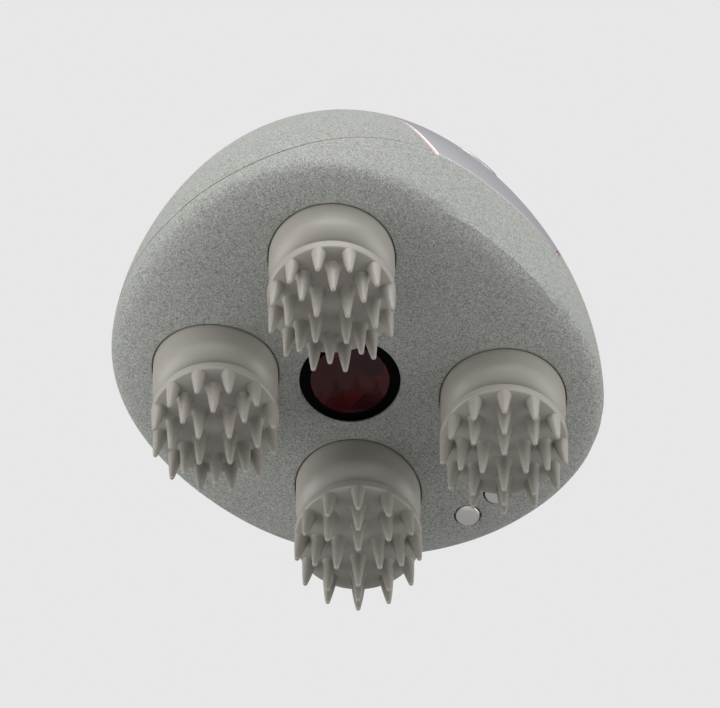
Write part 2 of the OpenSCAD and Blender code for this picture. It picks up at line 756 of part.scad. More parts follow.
module window_lens() {
    color([0.3, 0.08, 0.08, 0.7]) translate([0, window_y, window_z]) cylinder(r = lens_r, h = lens_t);
}

module reflector() {
    h = led_board_z - reflector_z - window_fit;
    slope = (lens_r - cup_lip - throat_r) / h;
    color([0.6, 0.25, 0.25]) translate([0, window_y, reflector_z]) difference() {
        cylinder(r = lens_r + lens_seat - window_fit, h = h);
        translate([0, 0, -lap])
            cylinder(r1 = lens_r - cup_lip + slope * lap, r2 = throat_r - slope * lap, h = h + 2 * lap);
    }
}

module led_board() {
    color([0.1, 0.3, 0.2]) translate([0, window_y, led_board_z]) {
        cylinder(r = ring_r, h = plate_z - led_board_z - window_fit);
        translate([0, 0, -lamp_h]) cylinder(r = lamp_r, h = lamp_h + lap);
    }
}

module charge_contact(y) {
    face_z = base_height(contact_x, y) - contact_proud;
    translate([contact_x, y, face_z]) cylinder(r = contact_r, h = contact_seat_z - face_z);
    translate([contact_x, y, contact_seat_z - contact_collar_h])
        cylinder(r = contact_r + contact_gap - push_fit, h = contact_collar_h);
}

module charge_contacts() {
    for (side = [-1, 1]) color([0.8, 0.8, 0.8]) charge_contact(contact_y + side * contact_pitch / 2);
}

module contact_board() {
    edge = contact_r + contact_board_edge;
    length = contact_pitch + 2 * edge;
    color([0.1, 0.35, 0.2]) translate([contact_x - edge, contact_y - length / 2, contact_seat_z])
        cube([2 * edge, length, board_t]);
}

// ---- heads ----
spike_root = 1.2;

// A soft cone with a rounded tip, pointing down from its foot at z = 0
module spike(reach) {
    tip = spike_tip_r;
    rotate([180, 0, 0]) translate([0, 0, -spike_root]) rotate_extrude($fn = 16) polygon([
        [0, 0], [spike_foot_r, 0], [spike_foot_r, spike_root],
        [tip, spike_root + reach - tip],
        [tip * cos(35), spike_root + reach - tip + tip * sin(35)],
        [tip * cos(65), spike_root + reach - tip + tip * sin(65)],
        [0, spike_root + reach]
    ]);
}

// Gap round the plate that holds a pad, and rounding of a disc's edge
core_fit = 0.1;
pad_edge = 0.7;

// Depth of the disc's domed face below its rim, at radius r
function pad_face(r) = let (ball = (pad_r * pad_r + pad_dome * pad_dome) / (2 * pad_dome))
    sqrt(ball * ball - r * r) - (ball - pad_dome);

// Half section of a disc: the domed face in six steps, then the rim and the back
function disc_section() = concat(
    [for (k = [0 : 6]) [(pad_r - pad_edge) * k / 6, rim_z - pad_face(pad_r * k / 6)]],
    [[pad_r, rim_z + pad_edge], [pad_r, pad_back_z - pad_edge / 2]],
    [[pad_r - pad_edge / 2, pad_back_z], [0, pad_back_z]]
);

module massage_pad(i) {
    color([0.59, 0.57, 0.54]) translate([head_places[i][0], head_places[i][1], 0]) {
        difference() {
            rotate_extrude() polygon(disc_section());
            translate([0, 0, pad_back_z - core_plate_t]) cylinder(r = core_plate_r + core_fit, h = pad_t);
        }
        for (ring = [0 : 2]) for (k = [0 : spike_counts[ring] - 1])
            rotate([0, 0, spike_phase[i] + 360 * k / spike_counts[ring]])
                translate([spike_ring_r[ring], 0, rim_z - pad_face(spike_ring_r[ring])])
                    rotate([0, -spike_lean[ring], 0])
                        spike((spike_reach[ring] - pad_face(spike_ring_r[ring])) / cos(spike_lean[ring]));
    }
}

core_top_z = boot_mouth_z + neck_in;
// Floor under a shaft's end in the core, and the shaft's riveted head
shaft_floor = 0.3;
shaft_low_z = pad_back_z - core_plate_t + shaft_floor;
shaft_head_h = 1;
shaft_head_r = shaft_r + 0.9;

module head_core(i) {
    color([0.16, 0.16, 0.16]) translate([head_places[i][0], head_places[i][1], 0]) difference() {
        union() {
            translate([0, 0, pad_back_z - core_plate_t]) cylinder(r = core_plate_r, h = core_plate_t);
            translate([0, 0, pad_back_z - core_fit])
                cylinder(r = neck_r, h = core_top_z - pad_back_z + core_fit);
        }
        translate([0, 0, shaft_low_z]) cylinder(r = shaft_r + push_fit, h = core_top_z);
    }
}

module drive_shaft(i) {
    top = gear_z + gear_t;
    color([0.75, 0.75, 0.77]) translate([head_places[i][0], head_places[i][1], 0]) {
        translate([0, 0, shaft_low_z]) cylinder(r = shaft_r, h = top - shaft_low_z + shaft_head_h / 2);
        translate([0, 0, top]) cylinder(r = shaft_head_r, h = shaft_head_h);
    }
}

// Soft sleeve from the flange inside the shell to a mouth round the neck
module boot(i) {
    inner_r = boot_r - boot_wall;
    mouth_in = neck_r + neck_gap;
    lip = 0.4;
    bevel = boot_wall - 0.1;
    inside_z = boot_mouth_z + boot_wall;
    section = concat(
        [[boot_flange_r, seat_z], [boot_r, seat_z]],
        [for (turn = [0 : 15.5 : 62])
            [boot_r - boot_shoulder_r * (1 - cos(turn)), boot_shoulder_z - boot_shoulder_r * sin(turn)]],
        [[boot_mouth_r + 6 * lip, boot_mouth_z + 1.5 * lip], [boot_mouth_r, boot_mouth_z]],
        [[mouth_in, boot_mouth_z + lip], [mouth_in, inside_z]],
        [[boot_mouth_r + 5 * lip, inside_z + lip], [inner_r - bevel / 2, boot_shoulder_z]],
        [[inner_r, boot_shoulder_z + bevel], [inner_r, plate_z], [boot_flange_r, plate_z]]
    );
    color([0.6, 0.58, 0.55]) translate([head_places[i][0], head_places[i][1], 0])
        rotate_extrude() polygon(section);
}

hub_low_z = core_top_z + hub_gap;
bush_low_z = hub_low_z + seal_h;
hub_r = seal_r + hub_wall;
// Gap at each end of a shaft's seal
seal_end = 0.2;

module shaft_bush(i) {
    color([0.72, 0.55, 0.3]) translate([head_places[i][0], head_places[i][1], bush_low_z])
        tube(shaft_r + running + bush_wall, shaft_r + running, plate_top_z + gear_gap / 2 - bush_low_z);
}

module shaft_seal(i) {
    color([0.1, 0.1, 0.1]) translate([head_places[i][0], head_places[i][1], hub_low_z + seal_end])
        tube(seal_r - push_fit, shaft_r + running, seal_h - 2 * seal_end);
}

// ---- gears ----
pressure = 20;
function involute(base, r) = let (a = acos(min(1, base / r))) tan(a) * 180 / PI - a;
// Half the angle of a tooth at radius r
function tooth_half(teeth, size, r) = let (pitch = size * teeth / 2, base = pitch * cos(pressure))
    90 / teeth + involute(base, pitch) - involute(base, max(r, base)) - backlash / 4 / pitch * 180 / PI;
function polar(r, a) = [r * cos(a), r * sin(a)];
function root_r(teeth, size) = size * (teeth / 2 - 1.25);
function tip_r(teeth, size) = size * (teeth / 2 + 0.85);
function gear_outline(teeth, size) = let (
    pitch = size * teeth / 2,
    root = root_r(teeth, size),
    steps = [root, max(root, pitch * cos(pressure)) + 0.01, pitch, tip_r(teeth, size)]
) [for (k = [0 : teeth - 1]) let (mid = 360 * k / teeth)
    for (p = concat(
        [for (r = steps) polar(r, mid - tooth_half(teeth, size, r))],
        [for (j = [3 : -1 : 0]) polar(steps[j], mid + tooth_half(teeth, size, steps[j]))]
    )) p];

module gear(teeth, size, h) {
    linear_extrude(height = h) polygon(gear_outline(teeth, size));
}

// Turn that puts a gear in mesh with one turned by drive_turn, whose centre lies at bearing - 180 of it
function mesh_turn(bearing, drive_teeth, drive_turn, teeth) =
    bearing + 180 - 180 / teeth + (bearing - drive_turn) * drive_teeth / teeth;
small_turn = mesh_turn(-90, sun_teeth, 0, small_teeth);
motor_turn = mesh_turn(90, wheel_teeth, 0, motor_teeth);

module sun_gear() {
    color([0.85, 0.85, 0.8]) translate([0, sun_y, gear_z]) difference() {
        gear(sun_teeth, head_module, gear_t);
        translate([0, 0, -past]) cylinder(r = axle_r + running, h = gear_t + 2 * past);
    }
}

module output_gear(i) {
    p = head_places[i];
    turn = mesh_turn(atan2(p[1] - sun_y, p[0]), sun_teeth, 0, head_teeth);
    color([0.85, 0.85, 0.8]) translate([p[0], p[1], gear_z]) difference() {
        rotate([0, 0, turn]) gear(head_teeth, head_module, gear_t);
        translate([0, 0, -past]) cylinder(r = shaft_r + push_fit, h = gear_t + 2 * past);
    }
}

module reduction_gear() {
    color([0.8, 0.8, 0.75]) translate([0, reduction_y, gear_z]) difference() {
        union() {
            rotate([0, 0, small_turn]) gear(small_teeth, head_module, gear_t + gear_gap / 2);
            cylinder(r = root_r(small_teeth, head_module), h = gear_t + gear_gap + lap);
            translate([0, 0, gear_t + gear_gap]) gear(wheel_teeth, motor_module, wheel_t);
        }
        translate([0, 0, -past]) cylinder(r = axle_r + running, h = cover_z);
    }
}

module motor_pinion() {
    color([0.7, 0.6, 0.35]) translate([0, motor_y, wheel_z]) difference() {
        rotate([0, 0, motor_turn]) gear(motor_teeth, motor_module, wheel_t);
        translate([0, 0, -past]) cylinder(r = motor_shaft_r + push_fit, h = wheel_t + 2 * past);
    }
}

// Gap above the shaft's end in the motor, and height of the boss at the motor's far end
shaft_end_gap = 0.5;
end_boss_h = 1.2;

module motor_shaft() {
    color([0.8, 0.8, 0.82]) translate([0, motor_y, wheel_z])
        cylinder(r = motor_shaft_r, h = cover_top_z - wheel_z + motor_bore - shaft_end_gap);
}

module motor() {
    color([0.7, 0.7, 0.72]) translate([0, motor_y, cover_top_z]) difference() {
        union() {
            cylinder(r = motor_r, h = motor_h);
            translate([0, 0, -cover_t]) cylinder(r = motor_boss_r, h = cover_t + past);
            translate([0, 0, motor_h - lap]) cylinder(r = motor_boss_r, h = end_boss_h + lap);
        }
        translate([0, 0, -cover_t - past])
            cylinder(r = motor_shaft_r + running, h = cover_t + past + motor_bore);
    }
}

// The axles end this far above the plate's underside
axle_floor = 0.6;

module gear_axles() {
    for (y = [sun_y, reduction_y]) color([0.75, 0.75, 0.77]) translate([0, y, plate_z + axle_floor])
        cylinder(r = axle_r, h = cover_top_z - plate_z - axle_floor);
}

// ---- gearbox ----
// Plan of a plate that fits inside the gasket from height low to height high
function plate_outline(low, high) = [for (a = bearings()) let (
    inset = seal_back + seal_t + plate_edge,
    p = wall_point(a, low, inset),
    q = wall_point(a, high, inset)
) norm([p.x, p.y]) < norm([q.x, q.y]) ? [p.x, p.y] : [q.x, q.y]];

module gearbox_plate() {
    color([0.25, 0.25, 0.27]) difference() {
        union() {
            translate([0, 0, plate_z]) linear_extrude(height = plate_t)
                polygon(plate_outline(plate_z, plate_top_z));
            head_spots(hub_low_z) cylinder(r = hub_r, h = plate_z - hub_low_z + past);
            post_spots(plate_z) cylinder(r = post_r, h = cover_z - plate_z);
        }
        head_spots(hub_low_z - past) cylinder(r = seal_r, h = bush_low_z - hub_low_z + past);
        head_spots(hub_low_z) cylinder(r = shaft_r + running + bush_wall + push_fit, h = cover_z);
        post_spots(plate_z - past) cylinder(r = screw_r + screw_gap, h = cover_z);
        for (y = [sun_y, reduction_y]) translate([0, y, plate_z + axle_floor])
            cylinder(r = axle_r + push_fit, h = plate_t);
    }
}

module gearbox_cover() {
    color([0.3, 0.3, 0.32]) difference() {
        translate([0, 0, cover_z]) linear_extrude(height = cover_t)
            polygon(plate_outline(cover_z, cover_top_z));
        post_spots(cover_z - past) cylinder(r = screw_r + screw_gap, h = cover_t + 2 * past);
        for (y = [sun_y, reduction_y])
            translate([0, y, cover_z - past]) cylinder(r = axle_r + push_fit, h = cover_t + 2 * past);
        translate([0, motor_y, cover_z - past]) cylinder(r = motor_boss_r + lap, h = cover_t + 2 * past);
        for (x = [-1, 1]) translate([x * case_screw_x, case_screw_y, cover_z - past])
            cylinder(r = pilot_r, h = cover_t + 2 * past);
    }
}

// A screw, its head's underside at z = 0, pointing down
module screw(length) {
    cylinder(r = screw_head_r, h = screw_head_h);
    translate([0, 0, -length]) cylinder(r = pilot_r - push_fit, h = length + screw_head_h / 2);
}

module gearbox_screws() {
    color([0.5, 0.5, 0.52]) post_spots(cover_top_z) screw(cover_top_z - seat_z + screw_bite);
}

module case_screws() {
    seat = case_head_z - screw_head_h;
    for (x = [-1, 1]) color([0.5, 0.5, 0.52]) translate([x * case_screw_x, case_screw_y, seat])
        screw(seat - cover_z);
}

// ---- battery and boards ----
tray_post_h = battery_h + tray_head;
tray_w = battery_w + tray_extra;

module battery_tray() {
    post_in = tray_post_r + lap;
    color([0.3, 0.3, 0.32]) translate([0, tray_y, cover_top_z]) {
        translate([-tray_w / 2, 0, 0]) cube([tray_w, tray_d, tray_t]);
        for (x = [-1, 1]) for (y = [post_in, tray_d - post_in])
            translate([x * (tray_w / 2 - post_in), y, 0]) cylinder(r = tray_post_r, h = tray_t + tray_post_h);
    }
}

module battery() {
    color([0.3, 0.45, 0.7]) translate([-battery_w / 2, tray_y + battery_fit, cover_top_z + tray_t])
        cube([battery_w, battery_d, battery_h]);
}

module main_board() {
    color([0.1, 0.35, 0.2]) translate([-tray_w / 2, tray_y, cover_top_z + tray_t + tray_post_h])
        cube([tray_w, tray_d, board_t]);
}

lower_shell();
upper_shell();
control_panel();
panel_trim();
power_button();
light_button();
power_switch();
light_switch();
control_board();
shell_seal();
window_ring();
window_lens();
reflector();
led_board();
charge_contacts();
contact_board();
gearbox_plate();
gearbox_cover();
gear_axles();
gearbox_screws();
case_screws();
sun_gear();
reduction_gear();
motor_pinion();
motor_shaft();
motor();
battery_tray();
battery();
main_board();
for (i = [0 : 3]) {
    boot(i);
    massage_pad(i);
    head_core(i);
    drive_shaft(i);
    output_gear(i);
    shaft_bush(i);
    shaft_seal(i);
}
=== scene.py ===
"""Looks of a hand-held scalp massager: smooth shells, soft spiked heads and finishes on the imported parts."""
import json
from math import cos, pi, radians, sin, sqrt, tan

import bmesh
import bpy
import numpy as np
from bpy.props import FloatProperty, FloatVectorProperty, IntProperty, PointerProperty
from mathutils import Matrix, Vector
from mathutils.geometry import delaunay_2d_cdt


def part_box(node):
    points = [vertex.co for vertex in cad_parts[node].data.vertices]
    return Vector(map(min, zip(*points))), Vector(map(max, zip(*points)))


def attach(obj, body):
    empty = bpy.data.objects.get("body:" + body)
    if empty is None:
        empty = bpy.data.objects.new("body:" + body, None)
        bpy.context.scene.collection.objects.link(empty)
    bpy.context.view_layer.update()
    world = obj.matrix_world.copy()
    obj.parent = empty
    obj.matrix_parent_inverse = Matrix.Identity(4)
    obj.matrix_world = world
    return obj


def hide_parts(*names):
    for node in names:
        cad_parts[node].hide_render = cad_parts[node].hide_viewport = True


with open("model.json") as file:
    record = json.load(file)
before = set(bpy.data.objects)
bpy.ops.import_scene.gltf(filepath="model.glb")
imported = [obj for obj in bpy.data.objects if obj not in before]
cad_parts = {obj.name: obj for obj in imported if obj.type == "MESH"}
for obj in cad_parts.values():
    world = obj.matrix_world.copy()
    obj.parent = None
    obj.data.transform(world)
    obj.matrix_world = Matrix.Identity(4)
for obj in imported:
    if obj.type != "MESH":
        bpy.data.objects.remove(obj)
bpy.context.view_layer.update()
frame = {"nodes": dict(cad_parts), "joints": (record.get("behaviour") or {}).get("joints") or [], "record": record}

bl_info = {
    "name": "Scalp massager looks",
    "version": (1, 0, 0),
    "blender": (4, 5, 0),
    "location": "View3D > Sidebar > Massager",
    "description": "Shells, panel, keys, soft heads and light window of a hand-held scalp massager",
    "category": "Object",
}

MM = 0.001
CORNERS = ("front_left", "front_right", "rear_left", "rear_right")
HEAD_CENTRES = {joint["child"][len("head_"):]: joint["pos_m"][:2]
                for joint in frame["joints"] if joint["child"].startswith("head_")}
CONTACTS = [Vector(m["pos_m"]) for m in frame["record"]["mounts"] if m["name"].startswith("contact_")]
LENS_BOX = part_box("window_lens")
WINDOW_CENTRE = (LENS_BOX[0] + LENS_BOX[1]) / 2

# How many points lie along the edges of the shells and the panel
RIM_STEPS = 300
SIDE_STEPS = 150
FOOT_STEPS = 70
BACK_STEPS = 230
KEY_STEPS = 72
ROUND_STEPS = 96


# ---------------------------------------------------------------- settings

def size(label, about, millimetres):
    """A length that a user may change"""
    return FloatProperty(name=label, description=about, default=millimetres * MM, unit="LENGTH", precision=5)


def number(label, about, value):
    """A plain number that a user may change"""
    return FloatProperty(name=label, description=about, default=value)


def turn(label, about, degrees):
    """An angle that a user may change"""
    return FloatProperty(name=label, description=about, default=radians(degrees), unit="ROTATION")


def count(label, about, value):
    """A whole number that a user may change"""
    return IntProperty(name=label, description=about, default=value, min=1)


def paint(label, about, red, green, blue):
    """A colour that a user may change, written as it looks on a screen, from 0 to 255"""
    linear = [((c / 255 + 0.055) / 1.055) ** 2.4 if c > 10 else c / 255 / 12.92 for c in (red, green, blue)]
    return FloatVectorProperty(name=label, description=about, default=linear, size=3, subtype="COLOR",
                               min=0, max=1)


class MASSAGER_PG_body(bpy.types.PropertyGroup):
    """Sizes of the two shells"""
    front: size("Front", "Body centre to its front", 50)
    front_corner: size("Front corner", "Body centre to its front corners", 57.4)
    side: size("Side", "Body centre to its sides", 55.7)
    rear_corner: size("Rear corner", "Body centre to its rear corners", 52.3)
    rear: size("Rear", "Body centre to its rear", 50)
    corner_draw: size("Corner draw", "How far the corners draw in towards the top", 1.4)
    base: size("Base", "Height of the base's lowest ring", 27.6)
    ring_front: size("Front ring", "Height of the widest ring at the front", 32.4)
    ring_rear: size("Rear ring", "Height of the widest ring at the rear", 41.6)
    ring_turn: number("Ring turn", "How late the widest ring rises to its rear height", 1.5)
    top: size("Top", "Height of the dome's top", 90.3)
    lean: size("Lean", "How far the top leans to the front", 8.3)
    base_round_front: number("Front base roundness", "Superellipse exponent of the base's front edge", 3.7)
    base_round_rear: number("Rear base roundness", "Superellipse exponent of the base's rear edge", 1.4)
    base_round_turn: number("Base roundness turn", "How late the base turns to its rear roundness", 1.5)
    dome_round_front: number("Front dome roundness", "Superellipse exponent of the dome at the front", 2.27)
    dome_round_rear: number("Rear dome roundness", "Superellipse exponent of the dome at the rear", 1.8)
    dish_radius: size("Dish radius", "Radius of the shallow dish in the base", 34)
    dish_depth: size("Dish depth", "Depth of that dish", 3)
    wall: size("Wall", "Wall of both shells", 2.4)
    seam: size("Parting line", "Height of the parting line along the sides", 36.1)
    seam_bend: size("Bend start", "Where the parting line starts to climb, ahead of the centre", 14.9)
    seam_bend_radius: size("Bend radius", "Radius of that climb", 42)
    seam_slope: number("Rear slope", "Slope of the parting line's rise to the rear", 0.16)
    seam_gap: size("Parting gap", "Gap between the shells", 0.3)
    grid: size("Grid", "Spacing of the points on the shells", 2.0)
    edge: size("Hole edge", "Rounding of the edges round the openings", 0.3)
    boot_seat_wall: size("Boot seat wall", "Wall of the ring that carries a boot", 1.6)
    window_seat_wall: size("Window seat wall", "Wall of the ring that carries the window", 2)
    window_gap: size("Window gap", "Gap round the window's black ring", 0.1)
    contact_gap: size("Contact gap", "Gap round a charging contact", 0.02)


class MASSAGER_PG_panel(bpy.types.PropertyGroup):
    """Sizes of the silver panel, its trim and its two keys"""
    tilt: turn("Tilt", "Elevation that the panel faces", 50)
    half_width: size("Half width", "Half width of the outline", 26.4)
    middle: size("Middle", "Middle of the outline, up the panel's slope from the origin", 22.4)
    low: size("Low reach", "Reach of the outline below its middle", 38)
    high: size("High reach", "Reach of the outline above its middle", 24)
    thickness: size("Thickness", "Thickness of the panel", 1.1)
    trim: size("Trim", "Width of the rose trim", 0.7)
    gap: size("Gap", "Gap between panel, trim and shell", 0.1)
    edge: size("Edge", "Rounding of the panel's edge", 0.3)
    power_radius: size("Power key", "Radius of the power key", 6.5)
    power_up: size("Power key place", "Power key's place up the slope from the outline's middle", -4)
    light_radius: size("Light key", "Radius of the light key", 4)
    light_up: size("Light key place", "Light key's place up the slope from the outline's middle", 10)
    key_proud: size("Key height", "How far a key stands proud", 0.5)
    key_gap: size("Key gap", "Gap round a key", 0.3)
    key_edge: size("Key edge", "Rounding of a key's edge", 0.45)
    key_crown: size("Key crown", "Height of a key's domed face", 0.12)
    skirt: size("Skirt", "Width of the skirt that holds a key in", 1)
    skirt_thickness: size("Skirt thickness", "Thickness of that skirt", 0.9)
    skirt_room: size("Skirt room", "Room between the skirt and the shell", 0.5)
    board_depth: size("Board depth", "Depth of the control board below the power key", 12)
    switch_height: size("Switch height", "Height of a switch on its board", 2.3)
    stem_radius: size("Stem radius", "Radius of the stem under a key", 1.5)
    mark_width: size("Mark width", "Width of the lines of a key's mark", 0.45)
    mark_height: size("Mark height", "How far a key's mark stands proud", 0.03)
    grid: size("Panel grid", "Spacing of the points on the panel", 1.5)


class MASSAGER_PG_heads(bpy.types.PropertyGroup):
    """Sizes of the boots and the spiked pads"""
    pad_radius: size("Pad radius", "Radius of a pad's disc", 14.2)
    pad_edge: size("Pad edge", "Rounding of a disc's edge", 0.6)
    pad_dome: size("Pad dome", "Height of a disc's domed face", 1.6)
    pad_thickness: size("Pad thickness", "Thickness of a disc at its rim", 2.6)
    recess_radius: size("Recess radius", "Radius of the recess in a disc's back", 11.5)
    recess_depth: size("Recess depth", "Depth of that recess", 1.2)
    inner_spikes: count("Inner spikes", "Spikes in the inner ring", 4)
    middle_spikes: count("Middle spikes", "Spikes in the middle ring", 8)
    outer_spikes: count("Outer spikes", "Spikes in the outer ring", 12)
    inner_ring: size("Inner ring", "Radius of the inner ring at its spikes' feet", 4.5)
    middle_ring: size("Middle ring", "Radius of the middle ring", 9)
    outer_ring: size("Outer ring", "Radius of the outer ring", 12.6)
    inner_reach: size("Inner reach", "Reach of the inner tips below the disc's rim", 11.8)
    middle_reach: size("Middle reach", "Reach of the middle tips", 10.7)
    outer_reach: size("Outer reach", "Reach of the outer tips", 8.4)
    inner_lean: turn("Inner lean", "Outward lean of the inner spikes", 2)
    middle_lean: turn("Middle lean", "Outward lean of the middle spikes", 4)
    outer_lean: turn("Outer lean", "Outward lean of the outer spikes", 7.8)
    spike_foot: size("Spike foot", "Radius of a spike's foot", 1.55)
    spike_tip: size("Spike tip", "Radius of a spike's rounded tip", 0.55)
    spike_flare: size("Spike flare", "How far a spike's foot flares into the disc", 0.4)
    outer_flare: size("Outer flare", "The same for the outer spikes", 0.15)
    flare_fade: size("Flare fade", "Length over which a flare fades", 0.4)
    spike_root: size("Spike root", "How deep a spike's foot is buried in the disc", 0.9)
    boot_gap: size("Boot gap", "Gap round a boot where it leaves the base", 0.2)
    boot_wall: size("Boot wall", "Wall of a boot", 1.5)
    boot_radius: size("Boot radius", "Outer radius of a boot", 14.0)
    boot_shoulder: size("Boot shoulder", "Rounding of a boot's shoulder", 4.8)
    boot_foot: size("Boot foot", "How far a boot's mouth reaches below its shoulder", 0.5)
    boot_mouth: size("Boot mouth", "Outer radius of a boot's mouth", 8)
    boot_bore: size("Boot bore", "Inner radius of a boot's mouth", 6.4)
    boot_flange: size("Boot flange", "Thickness of the flange that a boot is held by", 1.4)


class MASSAGER_PG_finish(bpy.types.PropertyGroup):
    """Colours of the finishes"""
    stone: paint("Stone", "Middle tone of the speckled shells", 152, 154, 149)
    stone_dark: paint("Stone, dark grains", "Dark grains of the speckled shells", 104, 106, 101)
    stone_light: paint("Stone, light grains", "Light grains of the speckled shells", 196, 197, 192)
    silicone: paint("Silicone", "Pads and boots", 156, 152, 145)
    silver: paint("Silver", "Front panel", 212, 212, 215)
    button: paint("Button", "Satin silver keys", 172, 172, 175)
    rose: paint("Rose", "Trim round the panel", 206, 162, 176)
    black: paint("Black", "Ring round the window", 3, 2, 2)
    # The two lens tones below are mixed in patches of painted light and painted shade that stand for the facetted
    # cup's reflections seen through the lens; the lighter one is also the lens's own red, the darker one is
    # painted shade
    ruby: paint("Ruby", "Lighter patches of the lens", 96, 30, 31)
    ruby_dark: paint("Ruby, dark", "Darker patches of the lens", 54, 25, 30)
    chrome: paint("Plated metal", "Charging contacts", 224, 222, 214)


class MASSAGER_PG_stage(bpy.types.PropertyGroup):
    """Camera, lamps and surroundings"""
    azimuth: turn("Azimuth", "Camera's bearing round the massager", -45)
    elevation: turn("Elevation", "Camera's elevation; it looks up at the heads", -55.8)
    lens: number("Focal length", "Camera's focal length in millimetres", 600)
    pixels_per_mm: number("Scale", "Picture pixels to a millimetre at the window", 4.48)
    picture_side: number("Picture width", "Width of the picture in pixels", 720)
    picture_height: number("Picture height", "Height of the picture in pixels", 708)
    window_px: number("Window across", "Window's middle in the picture, across", 350)
    window_py: number("Window down", "Window's middle in the picture, down", 380.5)
    backdrop: paint("Backdrop", "Colour of the surroundings", 231, 231, 231)
    near_side: paint("Near side", "What glossy faces reflect of the camera's side", 255, 255, 255)
    far_side: paint("Far side", "What glossy faces reflect of the far side", 168, 166, 170)
    fill: number("Fill light", "Strength of the even light from all round", 0.41)
    key: number("Key lamp", "Power of the lamp above, on the camera's side, in watts", 1.8)
    back: number("Back lamp", "Power of the lamp above, on the far side, in watts", 2.25)
    left: number("Left lamp", "Power of the lamp to the left, in watts", 3.65)
    right: number("Right lamp", "Power of the lamp to the right, in watts", 2.85)
    lamp_size: size("Lamp size", "Side of each square lamp", 600)
    lamp_distance: size("Lamp distance", "Distance from the massager to each lamp", 700)
    floor_half: size("Floor", "Half width of the floor", 1500)
    fade_start: size("Fade start", "Where the floor starts to fade into the backdrop", 200)
    fade_end: size("Fade end", "Where the floor has faded away", 600)


class MASSAGER_PG_settings(bpy.types.PropertyGroup):
    """All settings of the massager"""
    body: PointerProperty(type=MASSAGER_PG_body)
    panel: PointerProperty(type=MASSAGER_PG_panel)
    heads: PointerProperty(type=MASSAGER_PG_heads)
    finish: PointerProperty(type=MASSAGER_PG_finish)
    stage: PointerProperty(type=MASSAGER_PG_stage)


# ---------------------------------------------------------------- the body's surface

def bisect(inside, low, high, turns=40):
    """Where inside(value) changes from true to false, for arrays of values at once"""
    for _ in range(turns):
        middle = (low + high) / 2
        keep = inside(middle)
        low, high = np.where(keep, middle, low), np.where(keep, high, middle)
    return (low + high) / 2


